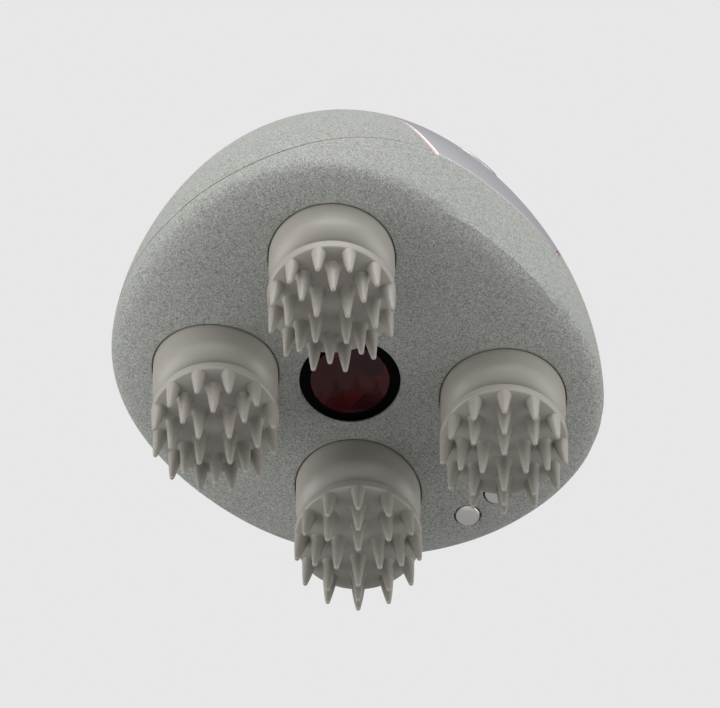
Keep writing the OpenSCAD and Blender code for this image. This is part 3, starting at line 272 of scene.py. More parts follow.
class BodyForm:
    """The massager's surface. A bearing of 0 is the front and a quarter turn the +X side. The climb runs from
    a quarter turn below, at the base's middle, through 0 at the widest ring to a quarter turn at the top."""

    def __init__(self, body, panel):
        self.body = body
        self.panel = panel
        radii = np.array([body.front, body.front_corner, body.side, body.rear_corner, body.rear])
        ends = np.array([0.5, 1, 1, 1, 0.5])
        self.waves = [np.sum(ends * radii * np.cos(np.arange(5) * pi / 4 * k)) / 2 * ends[k]
                      for k in range(5)]
        self.out = np.array([0, -cos(panel.tilt), sin(panel.tilt)])
        self.up = np.array([0, sin(panel.tilt), cos(panel.tilt)])

    def plan(self, bearing):
        """Radius of the widest ring"""
        return sum(wave * np.cos(k * bearing) for k, wave in enumerate(self.waves))

    def seam_height(self, y):
        """Height of the parting line's middle"""
        body = self.body
        ahead = np.clip(-y - body.seam_bend, 0, body.seam_bend_radius)
        arc = body.seam_bend_radius - np.sqrt(body.seam_bend_radius ** 2 - ahead ** 2)
        return body.seam + arc + np.maximum(0, y - WINDOW_CENTRE.y) * body.seam_slope

    def ring(self, bearing):
        """Height of the widest ring"""
        body = self.body
        rearward = ((1 - np.cos(bearing)) / 2) ** body.ring_turn
        free = body.ring_front + (body.ring_rear - body.ring_front) * rearward
        return np.minimum(free, self.seam_height(-self.plan(bearing) * np.cos(bearing)) - body.seam_gap)

    def base_power(self, bearing):
        """Superellipse exponent of the base's edge"""
        body = self.body
        rearward = ((1 - np.cos(bearing)) / 2) ** body.base_round_turn
        return body.base_round_front + (body.base_round_rear - body.base_round_front) * rearward

    def dome_power(self, bearing):
        """Superellipse exponent of the dome"""
        body = self.body
        forward = ((1 + np.cos(bearing)) / 2) ** 2
        return body.dome_round_rear + (body.dome_round_front - body.dome_round_rear) * forward

    def dish(self, radius):
        """Depth of the shallow dish in the base"""
        body = self.body
        return body.dish_depth * np.clip(1 - (radius / body.dish_radius) ** 2, 0, None) ** 2

    def shares(self, bearing, climb):
        """Shares of the radius and of the height that the surface has at that climb"""
        power = np.where(climb < 0, self.base_power(bearing), self.dome_power(bearing))
        across, along = np.cos(climb), np.abs(np.sin(climb))
        scale = (across ** power + along ** power) ** (-1 / power)
        return across * scale, along * scale

    def point(self, bearing, climb, inset=0.0):
        """Points of the surface, or of one set in from it"""
        body = self.body
        bearing, climb = np.broadcast_arrays(np.asarray(bearing, float), np.asarray(climb, float))
        across, along = self.shares(bearing, climb)
        ring = self.ring(bearing)
        below = climb < 0
        draw = np.where(below, 0, body.corner_draw * along * np.cos(4 * bearing))
        radius = (self.plan(bearing) - inset + draw) * across
        low = ring - (ring - body.base - inset) * along + self.dish(radius)
        high = ring + (body.top - inset - ring) * along
        push = np.where(below, 0, body.lean * along ** 2)
        return np.stack([radius * np.sin(bearing), -radius * np.cos(bearing) - push,
                         np.where(below, low, high)], -1)

    def travel(self, bearing, climb):
        """Length walked from the base's middle, as steps across plus steps up"""
        across, along = self.shares(bearing, climb)
        plan, ring = self.plan(bearing), self.ring(bearing)
        low = plan * across + (ring - self.body.base) * (1 - along)
        high = 2 * plan - plan * across + (ring - self.body.base) + (self.body.top - ring) * along
        return np.where(climb < 0, low, high)

    def climb_at(self, bearing, travel):
        """Climb that lies at that travel"""
        quarter = np.full(np.shape(bearing), pi / 2)
        return bisect(lambda c: self.travel(bearing, c) < travel, -quarter, quarter)

    def seam_climb(self, bearing, inset, above):
        """Climb at which the surface meets the parting line, or lies above it"""
        def below(climb):
            p = self.point(bearing, climb, inset)
            return p[..., 2] < self.seam_height(p[..., 1]) + above
        return bisect(below, np.zeros(np.shape(bearing)), np.full(np.shape(bearing), radians(80)))

    def locate_base(self, x, y):
        """Bearing and climb of the base's point under a place of the plan"""
        bearing = np.arctan2(x, -y)
        power = self.base_power(bearing)
        across = np.clip(np.hypot(x, y) / self.plan(bearing), 0, 1)
        return bearing, -np.arctan2((1 - across ** power) ** (1 / power), across)

    def settle(self, points, turns):
        """Bearing, share of the height, distance from the axis and plan radius of points on or by the dome"""
        x, y, z = points[..., 0], points[..., 1], points[..., 2]
        push = 0
        for _ in range(turns):
            bearing = np.arctan2(x, -(y + push))
            ring = self.ring(bearing)
            along = np.clip((z - ring) / (self.body.top - ring), 0, 1)
            push = self.body.lean * along ** 2
        draw = self.body.corner_draw * along * np.cos(4 * bearing)
        return bearing, along, np.hypot(x, y + push), self.plan(bearing) + draw

    def locate_dome(self, points):
        """Bearing and climb of points on the dome"""
        bearing, along, reach, plan = self.settle(points, 12)
        return bearing, np.arctan2(along, reach / plan)

    def outside(self, points):
        """True for points outside the dome"""
        bearing, along, reach, plan = self.settle(points, 6)
        power = self.dome_power(bearing)
        return reach > plan * (1 - along ** power) ** (1 / power)

    # The panel's own frame: x across, q up its slope, s out along the way it faces.

    def panel_point(self, x, q, s):
        """Points given in the panel's frame"""
        return (np.stack([x, 0 * x, 0 * x], -1) + np.multiply.outer(q, self.up)
                + np.multiply.outer(s, self.out))

    def skin(self, x, q):
        """Distance out at which the dome's surface lies"""
        x, q = np.asarray(x, float), np.asarray(q, float)
        return bisect(lambda s: ~self.outside(self.panel_point(x, q, s)),
                      np.full(x.shape, 20 * MM), np.full(x.shape, 110 * MM), 26)

    def key_holes(self):
        """Radius and place up the slope of the holes that the two keys stand in"""
        panel = self.panel
        return [(panel.power_radius + panel.key_gap, panel.middle + panel.power_up),
                (panel.light_radius + panel.key_gap, panel.middle + panel.light_up)]

    def outline(self, angle, share, less):
        """Place on the panel's outline, shrunk by less"""
        panel = self.panel
        reach = np.where(np.sin(angle) < 0, panel.low, panel.high)
        return (share * (panel.half_width - less) * np.cos(angle),
                panel.middle + share * (reach - less) * np.sin(angle))

    def over_seam(self, angle, share, less, low):
        """True where the outline lies above the parting line by more than low"""
        x, q = self.outline(angle, share, less)
        p = self.panel_point(x, q, self.skin(x, q))
        return p[..., 2] > self.seam_height(p[..., 1]) + self.body.seam_gap / 2 + low

    def side_end(self, less, low):
        """Angle at which the outline's right side comes down to the parting line"""
        found = bisect(lambda a: self.over_seam(a, 1.0, less, low), np.zeros(1), np.full(1, -pi / 2), 24)
        return float(found[0])

    def panel_side(self, less, low):
        """The outline from its lower right corner over the top to its lower left corner"""
        end = self.side_end(less, low)
        angles = np.linspace(end, pi - end, SIDE_STEPS)
        return np.stack(self.outline(angles, 1.0, less), -1)

    def panel_foot(self, less, low):
        """The outline's lower edge, which follows the parting line, from left to right, corners left out"""
        end = self.side_end(less, low)
        angles = np.linspace(pi - end, 2 * pi + end, FOOT_STEPS + 2)[1:-1]
        share = bisect(lambda s: self.over_seam(angles, s, less, low),
                       np.full(FOOT_STEPS, 0.3), np.full(FOOT_STEPS, 1.02), 24)
        return np.stack(self.outline(angles, share, less), -1)


# ---------------------------------------------------------------- meshes

class Piece:
    """Points and faces that become one object"""

    def __init__(self):
        self.points = []
        self.faces = []

    def add(self, points, faces, place=None):
        """Adds points and the faces between them, moved to a place"""
        start = len(self.points)
        self.points.extend((place @ Vector(p) if place else Vector(p)) for p in points)
        self.faces.extend([start + i for i in face] for face in faces)
        return self

    def make(self, name, body, slot, *nodes, sharp=38):
        """Makes the object in its slot's finish; it rides on a body and stands for the nodes named"""
        mesh = bpy.data.meshes.new(name)
        mesh.from_pydata(self.points, [], self.faces)
        work = bmesh.new()
        work.from_mesh(mesh)
        bmesh.ops.recalc_face_normals(work, faces=work.faces)
        work.to_mesh(mesh)
        work.free()
        mesh.shade_smooth()
        mesh.set_sharp_from_angle(angle=radians(sharp))
        mesh.materials.append(MATERIALS[slot])
        made = bpy.data.objects.new(name, mesh)
        bpy.context.scene.collection.objects.link(made)
        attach(made, body)
        if nodes:
            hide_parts(*nodes)


def band(lower, upper):
    """Faces between two rings of indices, where a ring of one is a pole"""
    faces = []
    steps = max(len(lower), len(upper))
    for i in range(steps):
        j = (i + 1) % steps
        face = [lower[i % len(lower)], lower[j % len(lower)], upper[j % len(upper)], upper[i % len(upper)]]
        faces.append(list(dict.fromkeys(face)))
    return faces


def revolve(profile, sides=ROUND_STEPS, loop=False):
    """A profile of (radius, height) points turned about z; a loop joins its last point to its first"""
    points, rings = [], []
    for radius, z in profile:
        steps = 1 if radius < 1e-9 else sides
        rings.append(range(len(points), len(points) + steps))
        angles = [2 * pi * k / steps for k in range(steps)]
        points += [(radius * cos(a), radius * sin(a), z) for a in angles]
    pairs = zip(rings, rings[1:] + rings[:1]) if loop else zip(rings, rings[1:])
    return points, [face for lower, upper in pairs for face in band(lower, upper)]


def ladder(rows, wide, closed=False):
    """Faces of a bar swept through rows of points, closed to a ring or capped at its ends"""
    faces = []
    for k in range(rows if closed else rows - 1):
        here, there = k * wide, (k + 1) % rows * wide
        faces += [[here + i, here + (i + 1) % wide, there + (i + 1) % wide, there + i] for i in range(wide)]
    if not closed:
        faces += [list(range(wide)), [(rows - 1) * wide + i for i in range(wide)]]
    return faces


def rounded(corners, loop=False, steps=6):
    """A path through (across, up, radius) corners, each rounded by an arc of its radius"""
    path = []
    last = len(corners) - 1
    for i, (x, z, radius) in enumerate(corners):
        here = Vector((x, z))
        if radius == 0 or (not loop and i in (0, last)):
            path.append(tuple(here))
            continue
        before = Vector(corners[i - 1][:2]) - here
        after = Vector(corners[(i + 1) % len(corners)][:2]) - here
        half = before.angle(after) / 2
        reach = radius / tan(half)
        start, end = here + before.normalized() * reach, here + after.normalized() * reach
        centre = here + (before.normalized() + after.normalized()).normalized() * (radius / sin(half))
        spread = (start - centre).angle_signed(end - centre)
        for k in range(steps + 1):
            arm = (start - centre).copy()
            arm.rotate(Matrix.Rotation(-spread * k / steps, 2))
            path.append(tuple(centre + arm))
    return path


def inside_loop(points, loop):
    """True for 2-D points inside a closed loop"""
    x, y = points[:, 0, None], points[:, 1, None]
    ax, ay = loop[:, 0], loop[:, 1]
    bx, by = np.roll(ax, -1), np.roll(ay, -1)
    crosses = (ay > y) != (by > y)
    slope = np.where(by == ay, 1e-12, by - ay)
    return (np.sum(crosses & (x < ax + (y - ay) * (bx - ax) / slope), 1) % 2).astype(bool)


def triangulate(flat, loops, line=np.array([], int)):
    """Triangles of the flat points within the first loop and outside the others, with a line kept as edges"""
    edges = [pair for loop in loops for pair in zip(loop.tolist(), np.roll(loop, -1).tolist())]
    edges += list(zip(line[:-1].tolist(), line[1:].tolist()))
    found = delaunay_2d_cdt([Vector(p) for p in flat], edges, [], 0, 1e-9)
    source = [ids[0] for ids in found[3]]
    tris = np.array([[source[i] for i in face] for face in found[2]])
    middle = flat[tris].mean(1)
    keep = inside_loop(middle, flat[loops[0]])
    for hole in loops[1:]:
        keep &= ~inside_loop(middle, flat[hole])
    return tris[keep]


def ring_ids(sizes):
    """Index lists of groups that lie one after another"""
    ids, start = [], 0
    for n in sizes:
        ids.append(np.arange(start, start + n))
        start += n
    return ids


def slab(tris, loops, front, back):
    """Faces and points of a closed slab: front, back and the walls along its loops"""
    n = len(front)
    faces = [list(t) for t in tris] + [[n + t[2], n + t[1], n + t[0]] for t in tris]
    for loop in loops:
        faces += [[a, b, n + b, n + a] for a, b in zip(loop, np.roll(loop, -1))]
    return np.concatenate([front, back]), faces


def rounding(distance, radius):
    """Drop of a rounded edge at a distance from it"""
    near = np.clip(radius - distance, 0, radius)
    return radius - np.sqrt(radius ** 2 - near ** 2)


def circle(x, y, radius, steps):
    """Places across and along of points round a circle"""
    angle = np.arange(steps) * 2 * pi / steps
    return x + radius * np.cos(angle), y + radius * np.sin(angle)


def unroll(bearing, reach):
    """Flat places of points at those bearings and reaches"""
    return np.stack([reach * np.sin(bearing), -reach * np.cos(bearing)], -1)


def polar_grid(reach, spacing):
    """Bearings and shares of the reach of evenly spread points in a disc"""
    bearings, shares = [0.0], [0.0]
    rows = int(reach / spacing)
    for row in range(1, rows):
        steps = max(8, round(2 * pi * row))
        bearings += list((np.arange(steps) + row % 2 / 2) * 2 * pi / steps)
        shares += [row / rows] * steps
    return np.array(bearings), np.array(shares)


def surface_normals(points, tris):
    """Unit normals at the points of a triangle mesh"""
    a, b, c = (points[tris[:, k]] for k in range(3))
    face = np.cross(b - a, c - a)
    total = np.zeros_like(points)
    for k in range(3):
        np.add.at(total, tris[:, k], face)
    return total / np.maximum(np.linalg.norm(total, axis=1, keepdims=True), 1e-20)


# ---------------------------------------------------------------- materials

class Wire:
    """A value in a node tree: arithmetic on it adds Math nodes"""

    def __init__(self, tree, socket):
        self.tree = tree
        self.socket = socket

    def math(self, operation, *values):
        """Adds a Math node"""
        return self.tree.node("ShaderNodeMath", {"operation": operation}, dict(enumerate(values)))

    def __add__(self, other):
        return self.math("ADD", self, other)

    __radd__ = __add__

    def __sub__(self, other):
        return self.math("SUBTRACT", self, other)

    def __rsub__(self, other):
        return self.math("SUBTRACT", other, self)

    def __mul__(self, other):
        return self.math("MULTIPLY", self, other)

    __rmul__ = __mul__


class Nodes:
    """A node tree being filled"""

    def __init__(self, owner):
        owner.use_nodes = True
        self.nodes = owner.node_tree.nodes
        self.links = owner.node_tree.links

    def node(self, kind, settings=(), inputs=(), output=0):
        """Adds a node: its settings first, then the values or links of its sockets"""
        node = self.nodes.new(kind)
        for key, value in dict(settings).items():
            setattr(node, key, value)
        for key, value in dict(inputs).items():
            self.feed(node.inputs[key], value)
        return Wire(self, node.outputs[output])

    def feed(self, socket, value):
        """Links a wire to a socket, or sets the socket's value"""
        if isinstance(value, Wire):
            self.links.new(value.socket, socket)
        elif socket.type == "RGBA" and len(value) == 3:
            socket.default_value = (*value, 1)
        else:
            socket.default_value = value

    def place(self):
        """Places on the object, in metres"""
        return self.node("ShaderNodeTexCoord", output="Object")

    def noise(self, grain, detail=2.0):
        """Soft unevenness of that grain"""
        return self.node("ShaderNodeTexNoise", {},
                         {"Vector": self.place(), "Scale": 1 / grain, "Detail": detail, "Roughness": 0.5})

    def cells(self, grain):
        """A random value for each small grain"""
        colour = self.node("ShaderNodeTexVoronoi", {}, {"Vector": self.place(), "Scale": 1 / grain}, "Color")
        return self.node("ShaderNodeSeparateColor", {}, {"Color": colour})

    def mix(self, share, first, second):
        """A colour between two"""
        return self.node("ShaderNodeMix", {"data_type": "RGBA"}, {0: share, 6: first, 7: second}, 2)

    def blend(self, share, first, second):
        """A shader between two"""
        return self.node("ShaderNodeMixShader", {}, {0: share, 1: first, 2: second})

    def step(self, value, low, high):
        """0 below low and 1 above high"""
        return self.node("ShaderNodeMapRange", {"interpolation_type": "SMOOTHSTEP"},
                         {"Value": value, "From Min": low, "From Max": high})


class Finish(Nodes):
    """A material being made"""

    def __init__(self, name, **values):
        self.material = bpy.data.materials.new(name)
        super().__init__(self.material)
        self.shader = self.nodes["Principled BSDF"]
        self.set(**values)

    def set(self, **values):
        """Sets sockets of the surface shader; an underscore stands for a space"""
        for key, value in values.items():
            self.feed(self.shader.inputs[key.replace("_", " ")], value)

    def bump(self, height, distance):
        """Lets a texture raise the surface, and gives the finished material"""
        inputs = {"Height": height, "Distance": distance, "Strength": 1.0}
        self.set(Normal=self.node("ShaderNodeBump", {}, inputs))
        return self.material


def shade(colour, share):
    """A colour made darker or lighter"""
    return [min(1, c * share) for c in colour]


def moulded(name, colour, roughness, grain=0.4 * MM, depth=0.012 * MM, mottle=0.06, **sockets):
    """Moulded plastic or rubber: fine texture and a little unevenness of tone and gloss"""
    finish = Finish(name, **sockets)
    patches = finish.noise(9 * MM)
    finish.set(Base_Color=finish.mix(patches, shade(colour, 1 - mottle), shade(colour, 1 + mottle)),
               Roughness=patches * 0.08 + (roughness - 0.04))
    return finish.bump(finish.noise(grain, 3), depth)


def metal(name, colour, roughness, grain=0.25 * MM, depth=0.004 * MM, **sockets):
    """Machined or plated metal"""
    finish = Finish(name, Metallic=1.0, **sockets)
    rub = finish.noise(grain, 3)
    finish.set(Base_Color=finish.mix(rub, shade(colour, 0.94), colour),
               Roughness=finish.noise(4 * MM) * 0.1 + (roughness - 0.05))
    return finish.bump(rub, depth)


def speckled(colours):
    """Stone-like plastic with fine light and dark grains"""
    finish = Finish("speckled_shell", Specular_IOR_Level=0.35)
    grains, dust = finish.cells(0.27 * MM), finish.cells(0.2 * MM)
    soft = finish.noise(0.4 * MM, 2)
    dark = finish.step(grains, 0.68, 0.8) * 0.6
    light = finish.step(dust, 0.72, 0.84) * 0.62
    base = finish.mix(soft, shade(colours.stone, 0.93), shade(colours.stone, 1.07))
    toned = finish.mix(light, finish.mix(dark, base, colours.stone_dark), colours.stone_light)
    finish.set(Base_Color=toned, Roughness=soft * 0.12 + 0.5)
    return finish.bump(grains * 0.6 + dust * 0.4, 0.02 * MM)


def silicone(colours):
    """Smooth soft silicone"""
    finish = Finish("silicone", Subsurface_Weight=0.12, Subsurface_Radius=(1.0, 0.9, 0.8),
                    Subsurface_Scale=0.8 * MM, Specular_IOR_Level=0.5)
    cloud = finish.noise(6 * MM, 2)
    finish.set(Base_Color=finish.mix(cloud, shade(colours.silicone, 0.96), shade(colours.silicone, 1.04)),
               Roughness=cloud * 0.08 + 0.38)
    return finish.bump(finish.noise(0.25 * MM, 2), 0.004 * MM)


def silver(colours):
    """Glossy silver plate, very slightly uneven"""
    finish = Finish("silver_panel", Metallic=0.9, Coat_Weight=0.3, Coat_Roughness=0.05)
    cloud = finish.noise(12 * MM, 1)
    finish.set(Base_Color=finish.mix(cloud, shade(colours.silver, 0.97), colours.silver),
               Roughness=cloud * 0.05 + 0.16)
    return finish.bump(finish.noise(0.3 * MM, 2), 0.001 * MM)


def ruby(colours):
    """Deep red plastic, cloudy, with faint painted patches of light and shade that stand for the reflections of
    the facetted cup behind it
    """
    finish = Finish("red_lens", Transmission_Weight=0.3, IOR=1.49, Roughness=0.09, Specular_IOR_Level=0.2)
    # Cells of painted reflection: each patch gets a lit or a painted-shade red, as the cup's facets would reflect
    # through the lens
    painted_facet_reflections = finish.cells(5.5 * MM)
    finish.set(Base_Color=finish.mix(painted_facet_reflections, colours.ruby_dark, colours.ruby))
    return finish.bump(finish.noise(2 * MM, 1), 0.002 * MM)


def board(name):
    """Green circuit board with paler tracks"""
    finish = Finish(name, Coat_Weight=0.3)
    inputs = {"Vector": finish.place(), "Scale": 1 / (4 * MM), "Mortar Size": 0.04}
    tracks = finish.node("ShaderNodeTexBrick", {}, inputs, "Fac")
    finish.set(Base_Color=finish.mix(tracks, (0.012, 0.09, 0.035), (0.03, 0.2, 0.08)),
               Roughness=tracks * 0.1 + 0.35)
    return finish.bump(tracks, 0.03 * MM)


MATERIALS = {}


def make_materials(colours):
    """Fills the table of material slots"""
    MATERIALS.update({
        "speckled_shell": speckled(colours),
        "silver_panel": silver(colours),
        "silver_button": metal("silver_button", colours.button, 0.5),
        "rose_trim": metal("rose_trim", colours.rose, 0.3),
        "silicone": silicone(colours),
        "black_gloss": moulded("black_gloss", colours.black, 0.3, depth=0.001 * MM, Specular_IOR_Level=0.04),
        "red_lens": ruby(colours),
        "bright_cup": metal("bright_cup", (0.27, 0.19, 0.2), 0.5),
        "contact_metal": metal("contact_metal", colours.chrome, 0.3, grain=0.5 * MM, depth=0.02 * MM),
        "circuit_board": board("circuit_board"),
        "dark_plastic": moulded("dark_plastic", (0.035, 0.035, 0.037), 0.5),
        "gasket": moulded("gasket", (0.022, 0.022, 0.022), 0.7),
        "steel": metal("steel", (0.6, 0.6, 0.62), 0.3),
        "brass": metal("brass", (0.68, 0.48, 0.2), 0.3),
        "gear_plastic": moulded("gear_plastic", (0.66, 0.65, 0.58), 0.42, Subsurface_Weight=0.1,
                                Subsurface_Scale=1 * MM),
        "motor_can": metal("motor_can", (0.58, 0.58, 0.6), 0.32),
        "battery_wrap": moulded("battery_wrap", (0.06, 0.16, 0.34), 0.35, mottle=0.1, Coat_Weight=0.3),
    })


def dress(*nodes):
    """Gives CAD parts that stay as they are the finish of their slot"""
    slots = {row["node"]: row["material_slot"] for row in frame["record"]["subparts"]}
    for name in nodes:
        node = frame["nodes"][name]
        for place in node.material_slots:
            place.material = MATERIALS[slots[name]]
        node.data.shade_smooth()
        node.data.set_sharp_from_angle(angle=radians(30))


# ---------------------------------------------------------------- operators

def body_form():
    """The body's surface at the sizes set"""
    return BodyForm(bpy.context.scene.massager.body, bpy.context.scene.massager.panel)


class MASSAGER_OT_materials(bpy.types.Operator):
    """Make the finishes"""
    bl_idname = "massager.make_materials"
    bl_label = "Finishes"

    def execute(self, context):
        make_materials(context.scene.massager.finish)
        return {"FINISHED"}


class MASSAGER_OT_stage(bpy.types.Operator):
    """Place the camera, the lamps, the surroundings and the floor"""
    bl_idname = "massager.set_stage"
    bl_label = "Stage"

    def execute(self, context):
        stage = context.scene.massager.stage
        slope = cos(stage.elevation)
        look = Vector((-sin(stage.azimuth) * slope, cos(stage.azimuth) * slope, -sin(stage.elevation)))
        right = look.cross(Vector((0, 0, 1))).normalized()
        up = right.cross(look)
        window = Vector((WINDOW_CENTRE.x, WINDOW_CENTRE.y, LENS_BOX[0].z))
        aim = (window + right * ((stage.picture_side / 2 - stage.window_px) / stage.pixels_per_mm * MM)
               + up * ((stage.window_py - stage.picture_height / 2) / stage.pixels_per_mm * MM))
        self.camera(context, stage, look, aim)
        self.surroundings(context, stage)
        self.lamps(context, stage, aim, look, right, up)
        self.floor(context, stage)
        return {"FINISHED"}

    def camera(self, context, stage, look, aim):
        """The camera, so far off that the window has its scale and place in the picture"""
        camera = bpy.data.cameras.new("camera")
        camera.lens = stage.lens
        camera.clip_end = 100
        view = bpy.data.objects.new("camera", camera)
        context.scene.collection.objects.link(view)
        distance = stage.lens / camera.sensor_width * stage.picture_side / stage.pixels_per_mm * MM
        view.location = aim - look * distance
        view.rotation_euler = look.to_track_quat("-Z", "Y").to_euler()
        context.scene.camera = view
        context.scene.view_settings.view_transform = "Standard"

    def surroundings(self, context, stage):
        """Even light all round; the camera sees the backdrop, metal and glass a room with a dim far side"""
        world = bpy.data.worlds.new("studio")
        context.scene.world = world
        studio = Nodes(world)
        from_camera, from_gloss, from_glass = (studio.node("ShaderNodeLightPath", output=f"Is {ray} Ray")
                                               for ray in ("Camera", "Glossy", "Transmission"))
        clear = from_gloss.math("MAXIMUM", from_gloss, from_glass)
        away = (-sin(stage.azimuth), cos(stage.azimuth), 0)
        spot = studio.node("ShaderNodeTexCoord", output="Generated")
        way = studio.node("ShaderNodeVectorMath", {"operation": "DOT_PRODUCT"}, {0: spot, 1: away}, "Value")
        room = studio.mix(studio.step(way, -0.5, 0.45), stage.near_side, stage.far_side)
        light = studio.node("ShaderNodeBackground", {}, {"Color": (1, 1, 1), "Strength": stage.fill})
        mirrored = studio.blend(clear, light, studio.node("ShaderNodeBackground", {}, {"Color": room}))
        backdrop = studio.node("ShaderNodeBackground", {}, {"Color": stage.backdrop})
        studio.feed(studio.nodes["World Output"].inputs["Surface"],
                    studio.blend(from_camera, mirrored, backdrop))

    def lamps(self, context, stage, aim, look, right, up):
        """Four large soft lamps: two above in the picture and one at each side"""
        for name, power, way in (("key_lamp", stage.key, up - look * 0.25),
                                 ("back_lamp", stage.back, up + look * 0.25),
                                 ("left_lamp", stage.left, -right - look * 0.3),
                                 ("right_lamp", stage.right, right - look * 0.3)):
            lamp = bpy.data.lights.new(name, "AREA")
            lamp.energy = power
            lamp.size = stage.lamp_size
            holder = bpy.data.objects.new(name, lamp)
            context.scene.collection.objects.link(holder)
            way = way.normalized()
            holder.location = aim + way * stage.lamp_distance
            holder.rotation_euler = (-way).to_track_quat("-Z", "Y").to_euler()

    def floor(self, context, stage):
        """A pale floor that shows from above only, and fades into the surroundings"""
        half = stage.floor_half
        mesh = bpy.data.meshes.new("floor")
        mesh.from_pydata([(-half, -half, 0), (half, -half, 0), (half, half, 0), (-half, half, 0)], [],
                         [(0, 1, 2, 3)])
        made = bpy.data.objects.new("floor", mesh)
        context.scene.collection.objects.link(made)
        finish = Finish("floor", Base_Color=stage.backdrop, Roughness=0.9, Specular_IOR_Level=0.1)
        away = finish.node("ShaderNodeVectorMath", {"operation": "LENGTH"}, {0: finish.place()}, "Value")
        above = 1 - finish.node("ShaderNodeNewGeometry", output="Backfacing")
        seen = finish.node("ShaderNodeLightPath", output="Is Camera Ray")
        share = seen * above * (1 - finish.step(away, stage.fade_start, stage.fade_end))
        clear = finish.node("ShaderNodeBsdfTransparent")
        finish.feed(finish.nodes["Material Output"].inputs["Surface"],
                    finish.blend(share, clear, Wire(finish, finish.shader.outputs["BSDF"])))
        mesh.materials.append(finish.material)


class MASSAGER_OT_lower_shell(bpy.types.Operator):
    """Build the lower shell with its round openings"""
    bl_idname = "massager.build_lower_shell"
    bl_label = "Lower shell"

    def execute(self, context):
        body, heads = context.scene.massager.body, context.scene.massager.heads
        form = body_form()
        half_gap = body.seam_gap / 2
        ring_box, pin_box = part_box("window_ring"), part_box("charge_contacts")
        window_hole = (ring_box[1].x - ring_box[0].x) / 2 + body.window_gap
        pin_hole = (pin_box[1].x - pin_box[0].x) / 2 + body.contact_gap
        boot_hole = heads.boot_radius + heads.boot_gap
        holes = [(*HEAD_CENTRES[c], boot_hole, 128) for c in CORNERS]
        holes += [(WINDOW_CENTRE.x, WINDOW_CENTRE.y, window_hole, 112)]
        holes += [(p.x, p.y, pin_hole, 48) for p in CONTACTS]

        rim_bearing = np.arange(RIM_STEPS) * 2 * pi / RIM_STEPS
        placed = [(rim_bearing, form.seam_climb(rim_bearing, 0.0, -half_gap))]
        placed += [form.locate_base(*circle(x, y, r, n)) for x, y, r, n in holes]
        offsets = np.array([0.12, 0.35, 0.7, 1.3, 2.2, 3.4]) * body.edge / 0.35
        placed += [form.locate_base(*circle(x, y, r + offset, n))
                   for x, y, r, n in holes for offset in offsets]
        past_edge = 14 * MM
        bearing, share = polar_grid(float(form.plan(np.zeros(1))[0]) + past_edge, body.grid)
        bearing = bearing % (2 * pi)
        rim = form.travel(bearing, form.seam_climb(bearing, 0.0, -half_gap))
        climb = form.climb_at(bearing, share * rim)
        spot = form.point(bearing, climb)
        free = np.ones(len(bearing), bool)
        for x, y, r, n in holes:
            near = np.hypot(spot[:, 0] - x, spot[:, 1] - y) < r + offsets[-1] + body.grid * 0.45
            free &= ~(near & (climb < 0))
        placed.append((bearing[free], climb[free]))

        loops = ring_ids([len(p[0]) for p in placed[:1 + len(holes)]])
        bearing, climb = (np.concatenate(values) for values in zip(*placed))
        tris = triangulate(unroll(bearing, form.travel(bearing, climb)), loops)
        skin = form.point(bearing, climb)
        normal = surface_normals(skin, tris)
        if normal[loops[1][0], 2] > 0:
            normal = -normal
        outer = skin.copy()
        inward = -normal
        low = climb < 0
        lean_reach = 4 * MM
        for x, y, r, n in holes:
            gap = np.hypot(skin[:, 0] - x, skin[:, 1] - y) - r
            outer[:, 2] += np.where(low, rounding(np.clip(gap, 0, None), body.edge), 0)
            lean = np.where(low, np.clip(1 - gap / lean_reach, 0, 1), 0)[:, None]
            inward = inward * (1 - lean) + np.array([0, 0, 1.0]) * lean
        inward /= np.linalg.norm(inward, axis=1, keepdims=True)
        inner = skin + inward * body.wall
        inner_climb = form.seam_climb(rim_bearing, body.wall, -half_gap)
        inner[loops[0]] = form.point(rim_bearing, inner_climb, body.wall)

        piece = Piece().add(*slab(tris, loops, outer, inner))
        seats = [(*HEAD_CENTRES[c], boot_hole, body.boot_seat_wall) for c in CORNERS]
        seats.append((WINDOW_CENTRE.x, WINDOW_CENTRE.y, window_hole, body.window_seat_wall))
        self.seats(piece, form, seats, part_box("boot_front_left")[1].z - heads.boot_flange)
        piece.make("smooth_lower_shell", "housing", "speckled_shell", "lower_shell")
        return {"FINISHED"}

    def seats(self, piece, form, places, top):
        """Rings inside that carry the boots and the window"""
        for x, y, hole, wall in places:
            points, faces = revolve([(hole, 0), (hole + wall, 0), (hole + wall, top), (hole, top)], loop=True)
            points = np.array(points) + (x, y, 0)
            skin = form.point(*form.locate_base(points[:, 0], points[:, 1]))[:, 2]
            points[:, 2] = np.maximum(points[:, 2], skin + form.body.wall * 0.6)
            piece.add(points, faces)


